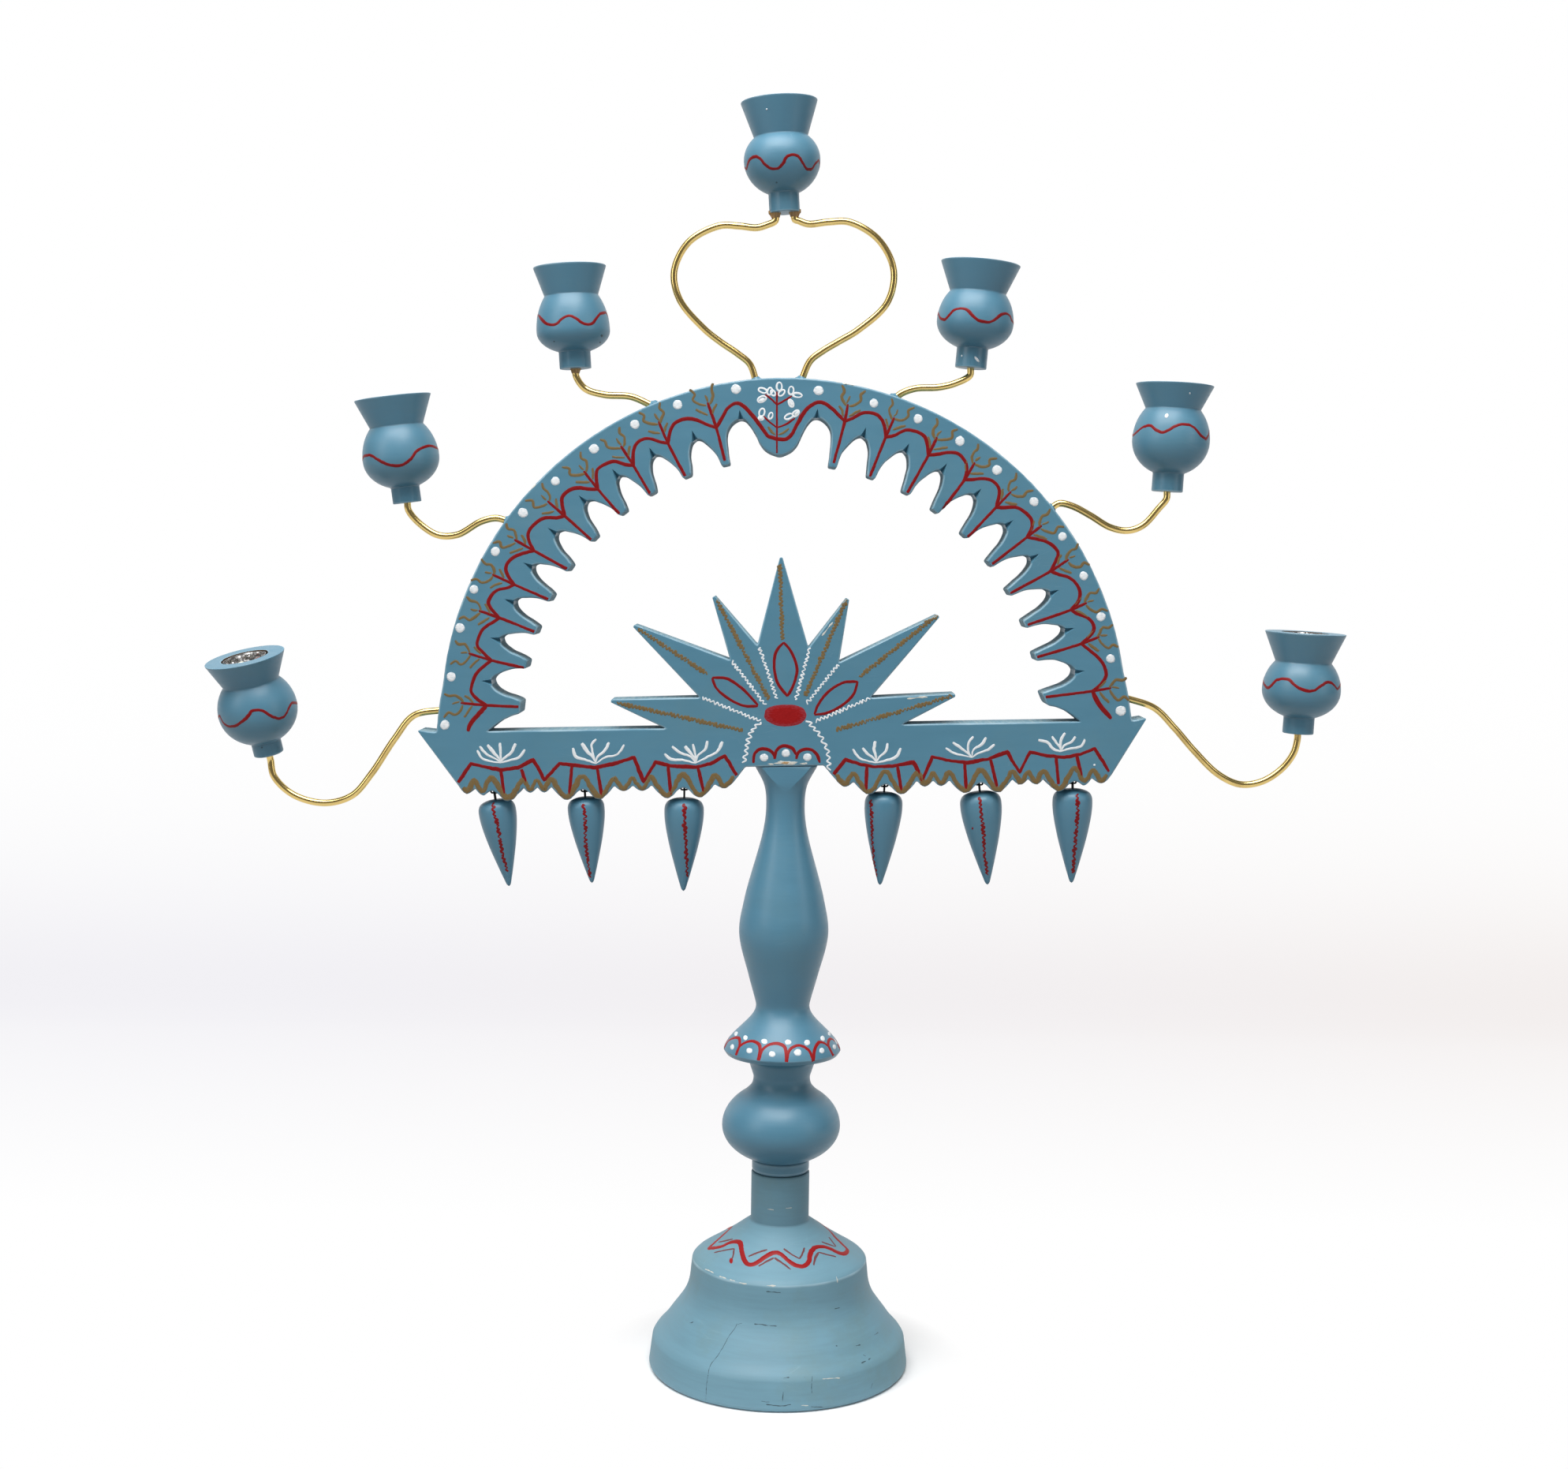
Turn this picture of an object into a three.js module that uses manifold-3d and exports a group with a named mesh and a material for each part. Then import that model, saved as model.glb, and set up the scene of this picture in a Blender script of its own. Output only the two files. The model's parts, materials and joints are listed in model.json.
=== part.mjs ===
// Painted wooden candelabra: a turned foot and stem carry a sawn arch board with a star,
// seven turned candle cups on bent brass wires and six wooden drops on small wire hooks.
// Millimetres, +Z up, +X to the right, the painted front faces -Y.
// The origin is the centre of the foot's underside.

import * as THREE from 'three';
import { mergeVertices } from 'three/addons/utils/BufferGeometryUtils.js';
import Module from 'manifold-3d';

const wasm = await Module();
wasm.setup();

// Clearances
const GLUE_GAP = 0.3; // between pieces that are glued or pushed together
const RUNNING_GAP = 0.3; // between pieces that move on each other
const CUT_PAST = 2; // how far a cutting body runs past the face that it opens

// Foot, turned with its post
const FOOT_DIAMETER = 114.4;
const FOOT_EDGE_ROUND = 1.5;
const BAND_DIAMETER = 111.6;
const BAND_HEIGHT = 12.6;
const SHOULDER_DIAMETER = 77;
const SHOULDER_HEIGHT = 47.8;
const DOME_TOP_HEIGHT = 65.5;
const POST_DIAMETER = 25.6;
const POST_HEIGHT = 87;
const POST_EDGE_ROUND = 0.8;

// Loose ring between the post and the stem
const RING_DIAMETER = 25.2;
const RING_THICKNESS = 5.4;
const RING_EDGE_ROUND = 1;

// Stem, turned with the tenon that stands in the post
const TENON_DIAMETER = 12;
const TENON_DEPTH_IN_POST = 30;
const BALL_FOOT_DIAMETER = 26;
const BALL_DIAMETER = 52;
const BALL_LOWER_HEIGHT = 14.6;
const BALL_UPPER_HEIGHT = 14.6;
const BALL_TOP_DIAMETER = 33.2; // where the ball runs into the cove
const COVE_DIAMETER = 24.8;
const COVE_HEIGHT = 17.5;
const SKIRT_DIAMETER = 51.4;
const SKIRT_RIM = 2;
const SKIRT_SLOPE_HEIGHT = 19.3;
const WAIST_DIAMETER = 23;
const BELLY_DIAMETER = 39;
const WAIST_TO_BELLY = 32;
const NECK_DIAMETER = 16.8;
const BELLY_TO_NECK = 56;
const STEM_TOP_DIAMETER = 27.6;
const NECK_TO_TOP = 17.8;

// Arch board, sawn from one plank
const BOARD_THICKNESS = 18;
const BOARD_TILT = 1.75; // degrees, the right end sits higher
const BOARD_SHIFT = -0.6; // the board's middle from the stem's axis
const ARCH_RADIUS = 147.3;
const ARCH_CENTRE_HEIGHT = 18; // above the seat on the stem
const BAR_TOP = 17.2;
const BAR_TIP = 154.6; // half the length of the bar at its upper corners
const BAR_LOWER_TIP = 140.8;
const BAR_LOWER_TIP_HEIGHT = -5.9;
const SEAT_HALF_WIDTH = 16.5;

// Teeth of the arch, sawn by eye: degrees from the top and radii about the arch's centre
const TOOTH_ANGLES = [11.6, 20.3, 28.7, 36.2, 44.6, 52.9, 60.5, 68.3, 75.9, 84.9];
const TOOTH_TIP_HALF_ANGLE = 0.9;
const TOOTH_TIP_RADIUS = { left: 113.2, right: 111.4 };
const SLOT_TOP_RADIUS = 127.3;
const TAB_HALF_ANGLE = 4.6; // half the round tab at the top of the arch
const TAB_BOTTOM_RADIUS = 114.6;
const FIRST_SLOT_TOP_RADIUS = 131.3;
const LAST_GAP_CORNER = 127.3; // half the width of the opening along the bar

// Carved triangular nick at the top of each slot
const NICK_LENGTH = 3.8;
const NICK_WIDTH = 3;
const NICK_DEPTH = 3.2;

// Star on the bar: its rays and the valleys between them, [degrees from the top, length]
const STAR_HEIGHT = 20.9;
const CENTRE_RAY_LENGTH = 68.6;
const SIDE_RAYS = {
  left: [[29.1, 60], [57.5, 75.4], [83.5, 74.6]],
  right: [[29.3, 57.8], [57.6, 79.3], [83.5, 74.2]],
};
const STAR_VALLEYS = {
  left: [[19, 33.2], [41.8, 33.9], [75.4, 37.2]],
  right: [[20.3, 31.8], [45.8, 33.6], [77.9, 38.3]],
};
const STAR_FOOT = 51;
const RAY_TIP_WIDTH = 1.2;

// Scalloped lower edge: distances of the hook notches from the middle, and the notches between
const HOOK_NOTCHES = { left: [43.8, 87.1, 126.4], right: [43.2, 84.4, 125] };
const NOTCH_FROM_HOOK = 13.6;
const OUTER_NOTCH_FROM_HOOK = 7.2;
const HOOK_NOTCH_HEIGHT = -8.6;
const SMALL_NOTCH_HEIGHT = -7.3;
const DEEP_LOBE_HEIGHT = -12.9;
const SMALL_LOBE_HEIGHT = -9.7;
const OUTER_LOBE_HEIGHT = -10.7;
const COVE_BESIDE_SEAT = [[18.6, -2.2], [21.5, -5.8], [24.2, -8.3], [26.8, -9.1]];

// Dowel between the stem and the board
const DOWEL_DIAMETER = 8;
const DOWEL_HALF_LENGTH = 20;
const DOWEL_END_GAP = 0.6;

// Brass wires
const WIRE_DIAMETER = 3;
const WIRE_IN_BOARD = 13;
const WIRE_IN_CUP = 12;
const WIRE_LEAD = 3; // straight stretch before a cup
const HEART_WIRE_SPACING = 8.2;

// Arms: the angle where the wire leaves the arch, its bends from there [across, up],
// and the foot of the cup from there [across, up]
const ARMS = {
  lower_left: {
    angle: -86.8,
    bends: [[-13.3, -2.3], [-22, -12.3], [-32.6, -27.4], [-41.3, -36.7],
      [-53.3, -39.8], [-66.8, -36], [-75, -27.7]],
    cupFoot: [-76.8, -17.7],
  },
  middle_left: {
    angle: -52.8,
    bends: [[-4.9, 1.3], [-11.6, -0.1], [-21.8, -5.5], [-30.2, -5.5], [-38.5, 0.1]],
    cupFoot: [-42.9, 8.5],
  },
  upper_left: {
    angle: -21.5,
    bends: [[-9.1, 4], [-20.5, 5], [-28.7, 7.8]],
    cupFoot: [-32.5, 16.2],
  },
  upper_right: {
    angle: 19.8,
    bends: [[3.1, 2.1], [8.9, 3.9], [18.6, 4.2], [25.6, 5.7]],
    cupFoot: [32.4, 12],
  },
  middle_right: {
    angle: 52.1,
    bends: [[3.6, 2.1], [9.4, 0.8], [17, -3.3], [25.5, -8.5], [33, -10], [39.5, -7.9], [46.2, -0.9]],
    cupFoot: [49.9, 6.3],
  },
  lower_right: {
    angle: 86.6,
    bends: [[13.5, -4.9], [22.1, -13.6], [30.7, -23.8], [41.1, -34.2],
      [50.7, -38.8], [60, -37.8], [68.5, -32.6], [73.8, -25.8]],
    cupFoot: [75.7, -17],
  },
};

// The two wires that bend into a heart and carry the top cup
const HEART = {
  left: {
    angle: -3.7,
    bends: [[-2.5, 7], [-7.5, 11.4], [-14.8, 16.5], [-21.9, 22.4], [-31.9, 34.7],
      [-34, 46.4], [-27.7, 58.5], [-14.5, 65.2], [-5.8, 65], [1.5, 64.2], [5.9, 65.3]],
  },
  right: {
    angle: 3.9,
    bends: [[3.8, 7.9], [8.9, 11.8], [16.3, 16], [24.4, 20.6], [37, 31.9],
      [39.9, 45.5], [33.6, 58.4], [21.4, 65.9], [12.7, 66.1], [3.9, 65.4], [-0.4, 66.9]],
  },
};
const TOP_CUP_RISE = 69.9; // from the top of the arch to the cup's foot
const TOP_CUP_SHIFT = 4; // to the right of the middle

// Candle cups, each turned by hand: diameters, and heights along the axis.
// Leans are degrees to the right and towards the viewer.
const CANDLE_BORE_DIAMETER = 20;
const CANDLE_BORE_DEPTH = 22;
const CUPS = {
  lower_left: {
    rim: 34.2, waist: 23.8, bulb: 33.8, collar: 12.8,
    rimHeight: 11.4, shoulderHeight: 12.5, bellyHeight: 14.2, collarHeight: 5.8, leanRight: -8.7, leanFront: 12,
  },
  middle_left: {
    rim: 32.6, waist: 22.6, bulb: 32.6, collar: 12.4,
    rimHeight: 12.3, shoulderHeight: 14, bellyHeight: 11.9, collarHeight: 7, leanRight: -5.9, leanFront: 2,
  },
  upper_left: {
    rim: 31, waist: 22.8, bulb: 31.4, collar: 13.6,
    rimHeight: 12.2, shoulderHeight: 15, bellyHeight: 8.4, collarHeight: 7.4, leanRight: -2, leanFront: 0,
  },
  top: {
    rim: 32.6, waist: 22.8, bulb: 32.6, collar: 13.2,
    rimHeight: 14.8, shoulderHeight: 9.6, bellyHeight: 13.7, collarHeight: 8.2, leanRight: -2, leanFront: 0,
  },
  upper_right: {
    rim: 33.9, waist: 23.8, bulb: 32.8, collar: 13.4,
    rimHeight: 12.4, shoulderHeight: 12.7, bellyHeight: 10.6, collarHeight: 8.6, leanRight: 6.2, leanFront: 0,
  },
  middle_right: {
    rim: 33.2, waist: 23.4, bulb: 33, collar: 13.3,
    rimHeight: 10.4, shoulderHeight: 13.5, bellyHeight: 13.6, collarHeight: 8, leanRight: 4.4, leanFront: 0,
  },
  lower_right: {
    rim: 34.4, waist: 23.8, bulb: 33.4, collar: 13.2,
    rimHeight: 12.8, shoulderHeight: 12.3, bellyHeight: 11.5, collarHeight: 7.2, leanRight: 4, leanFront: 1,
  },
};

// Wooden drops, from left to right: lean in degrees with the tip to the right,
// and how far the hook wire holds the drop below the staple
const DROPS = [
  { diameter: 16.2, length: 39.1, lean: 9, hang: 2.3 },
  { diameter: 16, length: 38.5, lean: 4.8, hang: 1.8 },
  { diameter: 17.2, length: 41.6, lean: 0, hang: 2.9 },
  { diameter: 16.5, length: 41.5, lean: -1.6, hang: 1.8 },
  { diameter: 18, length: 41.8, lean: 6, hang: 2.2 },
  { diameter: 17.3, length: 42, lean: 0.8, hang: 1.7 },
];

// Hook wire of the drops: a staple in the board and an eye in each drop
const HOOK_WIRE = 0.8;
const HOOK_RUNNING_GAP = 0.3;
const HOOK_HOLE_DIAMETER = 1.5;
const STAPLE_SPACING = 3;
const STAPLE_DEPTH = 6;
const STAPLE_BEND = 0.6;
const EYE_DEPTH = 5;

// How finely the round shapes are divided
const FOOT_SIDES = 32;
const STEM_SIDES = 24;
const CUP_SIDES = 16;
const DROP_SIDES = 12;
const WIRE_SIDES = 8;
const HOOK_SIDES = 5;

const PAINT_BLUE = new THREE.MeshStandardMaterial({ color: 0x5a8ba6, roughness: 0.45, metalness: 0 });
const BARE_WOOD = new THREE.MeshStandardMaterial({ color: 0xb58e5e, roughness: 0.8, metalness: 0 });
const BRASS = new THREE.MeshStandardMaterial({ color: 0xb8974c, roughness: 0.3, metalness: 1 });
const BLACK_WIRE = new THREE.MeshStandardMaterial({ color: 0x1c1b1c, roughness: 0.5, metalness: 0.6 });

// Sizes that follow from the ones above
const RING_BOTTOM = POST_HEIGHT + RUNNING_GAP;
const STEM_SHOULDER = RING_BOTTOM + RING_THICKNESS + RUNNING_GAP;
const BALL_CENTRE = STEM_SHOULDER + BALL_LOWER_HEIGHT;
const COVE_BOTTOM = BALL_CENTRE + BALL_UPPER_HEIGHT;
const SKIRT_BOTTOM = COVE_BOTTOM + COVE_HEIGHT;
const SKIRT_EDGE = SKIRT_BOTTOM + SKIRT_RIM;
const WAIST = SKIRT_EDGE + SKIRT_SLOPE_HEIGHT;
const BELLY = WAIST + WAIST_TO_BELLY;
const NECK = BELLY + BELLY_TO_NECK;
const SEAT_HEIGHT = NECK + NECK_TO_TOP + GLUE_GAP;
const WIRE_HOLE = WIRE_DIAMETER / 2 + GLUE_GAP;
const HOOK_RADIUS = HOOK_WIRE / 2;
const EYE_RADIUS = HOOK_WIRE + HOOK_RUNNING_GAP; // between the middles of the two hooked wires
const CROWN_DROP = EYE_RADIUS + HOOK_RADIUS + HOOK_RUNNING_GAP; // from the notch to the crown's middle

const degrees = THREE.MathUtils.degToRad;

// Solids from closed geometry, so that they can be cut
function solid(geometry) {
  const bare = geometry.clone();
  bare.deleteAttribute('normal');
  bare.deleteAttribute('uv');
  const merged = mergeVertices(bare, 1e-4);
  const corners = merged.index.array;
  const kept = [];
  for (let i = 0; i < corners.length; i += 3) {
    const [a, b, c] = [corners[i], corners[i + 1], corners[i + 2]];
    if (a !== b && b !== c && c !== a) {
      kept.push(a, b, c);
    }
  }
  return new wasm.Manifold(new wasm.Mesh({
    numProp: 3,
    vertProperties: new Float32Array(merged.attributes.position.array),
    triVerts: new Uint32Array(kept),
  }));
}

function geometryOf(body) {
  const cut = body.getMesh();
  const geometry = new THREE.BufferGeometry();
  geometry.setAttribute('position', new THREE.BufferAttribute(cut.vertProperties, 3));
  geometry.setIndex(new THREE.BufferAttribute(cut.triVerts, 1));
  return geometry;
}

function cutAll(geometry, cutters) {
  let body = solid(geometry);
  for (const cutter of cutters) {
    body = body.subtract(solid(cutter));
  }
  return geometryOf(body);
}

function named(name, geometry, material) {
  const mesh = new THREE.Mesh(geometry, material);
  mesh.name = name;
  return mesh;
}

// A body turned about the Z axis from [radius, height] points, from the axis to the axis
function turned(outline, sides) {
  const points = outline.map(([radius, height]) => new THREE.Vector2(radius, height));
  return new THREE.LatheGeometry(points, sides).rotateX(Math.PI / 2);
}

// Points along a smooth line through a few [radius, height] stations
function smooth(stations, steps) {
  const line = new THREE.SplineCurve(stations.map(([x, y]) => new THREE.Vector2(x, y)));
  return line.getPoints(steps).map((point) => [point.x, point.y]);
}

// Part of an oval outline between two radii, from the widest place to the narrow one
function ovalQuarter(widest, narrow, centre, height, steps) {
  const reach = Math.sqrt(1 - (narrow / widest) ** 2);
  const last = Math.asin(reach);
  const points = [];
  for (let i = 0; i <= steps; i += 1) {
    const turn = (last * i) / steps;
    points.push([widest * Math.cos(turn), centre + (height * Math.sin(turn)) / reach]);
  }
  return points;
}

// A round bar between two points
function bar(from, to, radius, sides) {
  const line = new THREE.LineCurve3(from, to);
  return tube(line, radius, sides, 1);
}

function tube(path, radius, sides, steps) {
  const section = new THREE.Shape();
  for (let i = 0; i < sides; i += 1) {
    const turn = (2 * Math.PI * i) / sides;
    const corner = [radius * Math.cos(turn), radius * Math.sin(turn)];
    if (i === 0) {
      section.moveTo(...corner);
    } else {
      section.lineTo(...corner);
    }
  }
  return new THREE.ExtrudeGeometry(section, { steps, extrudePath: path, bevelEnabled: false });
}

// The foot: a flared band, a shoulder, a low dome and the post with its socket
function footGeometry() {
  const foot = FOOT_DIAMETER / 2;
  const band = BAND_DIAMETER / 2;
  const shoulder = SHOULDER_DIAMETER / 2;
  const post = POST_DIAMETER / 2;
  const socket = TENON_DIAMETER / 2 + RUNNING_GAP;
  const socketBottom = POST_HEIGHT - TENON_DEPTH_IN_POST - RUNNING_GAP;
  const rise = SHOULDER_HEIGHT - BAND_HEIGHT;
  const flare = smooth([
    [band, BAND_HEIGHT],
    [band - 0.8, BAND_HEIGHT + 0.06 * rise],
    [band - 3.8, BAND_HEIGHT + 0.15 * rise],
    [shoulder + 9.9, BAND_HEIGHT + 0.27 * rise],
    [shoulder + 3.5, BAND_HEIGHT + 0.53 * rise],
    [shoulder + 1.3, BAND_HEIGHT + 0.7 * rise],
    [shoulder + 0.4, BAND_HEIGHT + 0.9 * rise],
    [shoulder, SHOULDER_HEIGHT],
  ], 9);
  const dome = smooth([
    [shoulder - 1.3, SHOULDER_HEIGHT + 1.4],
    [shoulder - 8.5, SHOULDER_HEIGHT + 6],
    [post + 9.2, DOME_TOP_HEIGHT - 6.5],
    [post + 2.6, DOME_TOP_HEIGHT - 1.7],
    [post, DOME_TOP_HEIGHT],
  ], 6);
  return turned([
    [0, 0],
    [foot - FOOT_EDGE_ROUND / 2, 0],
    [foot, FOOT_EDGE_ROUND],
    ...flare,
    ...dome,
    [post, POST_HEIGHT - POST_EDGE_ROUND],
    [post - POST_EDGE_ROUND, POST_HEIGHT],
    [socket, POST_HEIGHT],
    [socket, socketBottom],
    [0, socketBottom],
  ], FOOT_SIDES);
}

function ringGeometry() {
  const outer = RING_DIAMETER / 2;
  const bore = TENON_DIAMETER / 2 + RUNNING_GAP;
  const top = RING_BOTTOM + RING_THICKNESS;
  return turned([
    [bore, RING_BOTTOM],
    [outer - RING_EDGE_ROUND, RING_BOTTOM],
    [outer, RING_BOTTOM + RING_EDGE_ROUND],
    [outer, top - RING_EDGE_ROUND / 2],
    [outer - RING_EDGE_ROUND / 2, top],
    [bore, top],
    [bore, RING_BOTTOM],
  ], STEM_SIDES);
}

// The stem: tenon, ball, cove, skirt, belly and neck, shaved flat under the board
function stemGeometry() {
  const tenon = TENON_DIAMETER / 2;
  const tenonBottom = POST_HEIGHT - TENON_DEPTH_IN_POST;
  const ball = BALL_DIAMETER / 2;
  const ballLower = ovalQuarter(ball, BALL_FOOT_DIAMETER / 2, BALL_CENTRE, -BALL_LOWER_HEIGHT, 4).reverse();
  const ballUpper = ovalQuarter(ball, BALL_TOP_DIAMETER / 2, BALL_CENTRE, BALL_UPPER_HEIGHT, 3).slice(1);
  const cove = COVE_DIAMETER / 2;
  const skirt = SKIRT_DIAMETER / 2;
  const skirtUnder = smooth([
    [BALL_TOP_DIAMETER / 2, COVE_BOTTOM],
    [cove + 2.4, COVE_BOTTOM + 0.09 * COVE_HEIGHT],
    [cove + 0.7, COVE_BOTTOM + 0.21 * COVE_HEIGHT],
    [cove, COVE_BOTTOM + 0.4 * COVE_HEIGHT],
    [cove + 0.6, COVE_BOTTOM + 0.53 * COVE_HEIGHT],
    [cove + 1.3, COVE_BOTTOM + 0.65 * COVE_HEIGHT],
    [cove + 2.6, COVE_BOTTOM + 0.83 * COVE_HEIGHT],
    [skirt - 7.7, COVE_BOTTOM + 0.94 * COVE_HEIGHT],
    [skirt - 1.3, SKIRT_BOTTOM],
  ], 9).slice(1);
  const waist = WAIST_DIAMETER / 2;
  const skirtOver = smooth([
    [skirt, SKIRT_EDGE],
    [skirt - 0.9, SKIRT_EDGE + 0.1 * SKIRT_SLOPE_HEIGHT],
    [skirt - 2.8, SKIRT_EDGE + 0.25 * SKIRT_SLOPE_HEIGHT],
    [waist + 6, SKIRT_EDGE + 0.54 * SKIRT_SLOPE_HEIGHT],
    [waist + 3, SKIRT_EDGE + 0.7 * SKIRT_SLOPE_HEIGHT],
    [waist + 0.6, SKIRT_EDGE + 0.87 * SKIRT_SLOPE_HEIGHT],
    [waist, WAIST],
  ], 8);
  const belly = BELLY_DIAMETER / 2;
  const neck = NECK_DIAMETER / 2;
  const shaft = smooth([
    [waist, WAIST],
    [waist + 0.46 * (belly - waist), WAIST + 0.42 * WAIST_TO_BELLY],
    [belly, BELLY],
    [neck + 0.81 * (belly - neck), BELLY + 0.27 * BELLY_TO_NECK],
    [neck + 0.1 * (belly - neck), BELLY + 0.81 * BELLY_TO_NECK],
    [neck, NECK],
    [neck + 0.9, NECK + 0.5 * NECK_TO_TOP],
    [STEM_TOP_DIAMETER / 2, NECK + NECK_TO_TOP],
  ], 14).slice(1);
  const shaftTop = NECK + NECK_TO_TOP + CUT_PAST;
  const body = turned([
    [0, tenonBottom],
    [tenon, tenonBottom],
    [tenon, STEM_SHOULDER],
    ...ballLower,
    ...ballUpper,
    ...skirtUnder,
    [skirt - 0.4, SKIRT_EDGE - 0.5 * SKIRT_RIM],
    ...skirtOver,
    ...shaft,
    [STEM_TOP_DIAMETER / 2, shaftTop],
    [0, shaftTop],
  ], STEM_SIDES);
  const wide = 2 * STEM_TOP_DIAMETER;
  const above = new THREE.BoxGeometry(wide, wide, wide).translate(0, 0, wide / 2 - GLUE_GAP);
  onTilt(above);
  const shavings = [-1, 1].map((side) => {
    const slab = new THREE.BoxGeometry(wide, wide, wide);
    return slab.translate(0, side * (wide / 2 + BOARD_THICKNESS / 2), NECK + wide / 2);
  });
  const dowelHole = bar(
    new THREE.Vector3(0, 0, -DOWEL_HALF_LENGTH - DOWEL_END_GAP),
    new THREE.Vector3(0, 0, CUT_PAST),
    DOWEL_DIAMETER / 2 + GLUE_GAP,
    STEM_SIDES,
  );
  onTilt(dowelHole);
  return cutAll(body, [above, ...shavings, dowelHole]);
}

// Moves geometry from the board's own frame to the frame of the whole object
function onTilt(geometry) {
  return geometry.rotateY(-degrees(BOARD_TILT)).translate(BOARD_SHIFT, 0, SEAT_HEIGHT);
}

// A point of the board from degrees off the top and a radius about the arch's centre
function onArch(angle, radius) {
  const turn = degrees(angle);
  return [radius * Math.sin(turn), ARCH_CENTRE_HEIGHT + radius * Math.cos(turn)];
}

// One scallop between two notches; an end at a hook is rounded, the others are sharp
function scallop(from, to, lowest, roundFrom, roundTo, steps) {
  const points = [];
  for (let i = 1; i <= steps; i += 1) {
    const t = i / steps;
    const round = t < 0.5 ? roundFrom : roundTo;
    const swell = round ? (1 - Math.cos(2 * Math.PI * t)) / 2 : Math.sin(Math.PI * t);
    const base = from[1] + (to[1] - from[1]) * t;
    const middle = (from[1] + to[1]) / 2;
    points.push([from[0] + (to[0] - from[0]) * t, base + (lowest - middle) * swell]);
  }
  return points;
}

// Half of the lower edge, from the seat to the bar's lower tip
function lowerEdge(hooks) {
  const firstNotch = [hooks[0] - NOTCH_FROM_HOOK, SMALL_NOTCH_HEIGHT];
  const points = smooth([[SEAT_HALF_WIDTH, 0], ...COVE_BESIDE_SEAT, firstNotch], 7);
  let from = firstNotch;
  hooks.forEach((across, index) => {
    const hook = [across, HOOK_NOTCH_HEIGHT];
    points.push(...scallop(from, hook, DEEP_LOBE_HEIGHT, false, true, 6));
    if (index < hooks.length - 1) {
      const after = [across + NOTCH_FROM_HOOK, SMALL_NOTCH_HEIGHT];
      const before = [hooks[index + 1] - NOTCH_FROM_HOOK, SMALL_NOTCH_HEIGHT];
      const between = [(after[0] + before[0]) / 2, SMALL_NOTCH_HEIGHT];
      points.push(...scallop(hook, after, DEEP_LOBE_HEIGHT, true, false, 6));
      points.push(...scallop(after, between, SMALL_LOBE_HEIGHT, false, false, 4));
      points.push(...scallop(between, before, SMALL_LOBE_HEIGHT, false, false, 4));
      from = before;
    } else {
      const outer = [across + OUTER_NOTCH_FROM_HOOK, SMALL_NOTCH_HEIGHT];
      const tip = [BAR_LOWER_TIP, BAR_LOWER_TIP_HEIGHT];
      points.push(...scallop(hook, outer, OUTER_LOBE_HEIGHT, true, false, 4));
      points.push(...scallop(outer, tip, SMALL_LOBE_HEIGHT, false, false, 4));
    }
  });
  return points;
}

// A point of the star from degrees off the top and a distance from its middle
function onStar(angle, length) {
  const turn = degrees(angle);
  return [length * Math.sin(turn), STAR_HEIGHT + length * Math.cos(turn)];
}

// Half of the opening under the arch, from the tab's tip to the centre ray, drawn to the right
function innerEdge(side) {
  const tip = TOOTH_TIP_RADIUS[side];
  const firstCorner = TOOTH_ANGLES[0] - TOOTH_TIP_HALF_ANGLE;
  const angles = smooth([
    [0, TAB_BOTTOM_RADIUS],
    [0.45 * TAB_HALF_ANGLE, TAB_BOTTOM_RADIUS + 1.3],
    [0.8 * TAB_HALF_ANGLE, TAB_BOTTOM_RADIUS + 4.6],
    [TAB_HALF_ANGLE, FIRST_SLOT_TOP_RADIUS - 7.3],
    [firstSlotAngle() - 1.3, FIRST_SLOT_TOP_RADIUS - 2.2],
    [firstSlotAngle(), FIRST_SLOT_TOP_RADIUS],
    [firstCorner - 1.6, FIRST_SLOT_TOP_RADIUS - 2],
    [firstCorner - 0.4, FIRST_SLOT_TOP_RADIUS - 7],
    [firstCorner, tip],
  ], 14);
  for (let i = 1; i < TOOTH_ANGLES.length; i += 1) {
    const middle = (TOOTH_ANGLES[i - 1] + TOOTH_ANGLES[i]) / 2;
    const wall = middle - TOOTH_ANGLES[i - 1] - TOOTH_TIP_HALF_ANGLE;
    angles.push(...smooth([
      [middle - wall, tip],
      [middle - 0.84 * wall, SLOT_TOP_RADIUS - 9],
      [middle - 0.5 * wall, SLOT_TOP_RADIUS - 4.2],
      [middle - 0.2 * wall, SLOT_TOP_RADIUS - 1.1],
      [middle + 0.05 * wall, SLOT_TOP_RADIUS],
      [middle + 0.36 * wall, SLOT_TOP_RADIUS - 1.4],
      [middle + 0.66 * wall, SLOT_TOP_RADIUS - 5.3],
      [middle + 0.84 * wall, SLOT_TOP_RADIUS - 11],
      [middle + wall, tip],
    ], 8));
  }
  const points = angles.map(([angle, radius]) => onArch(angle, radius));
  points.push([LAST_GAP_CORNER - 14, BAR_TOP + 7.4]);
  points.push([LAST_GAP_CORNER - 10.1, BAR_TOP + 6.2]);
  points.push([LAST_GAP_CORNER - 5.7, BAR_TOP + 4.1]);
  points.push([LAST_GAP_CORNER, BAR_TOP]);
  points.push([STAR_FOOT, BAR_TOP]);
  for (let i = SIDE_RAYS[side].length - 1; i >= 0; i -= 1) {
    const [angle, length] = SIDE_RAYS[side][i];
    const blunt = THREE.MathUtils.radToDeg(RAY_TIP_WIDTH / 2 / length);
    points.push(onStar(angle + blunt, length));
    points.push(onStar(angle - blunt, length));
    points.push(onStar(...STAR_VALLEYS[side][i]));
  }
  points.push([RAY_TIP_WIDTH / 2, STAR_HEIGHT + CENTRE_RAY_LENGTH]);
  return points;
}

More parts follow.
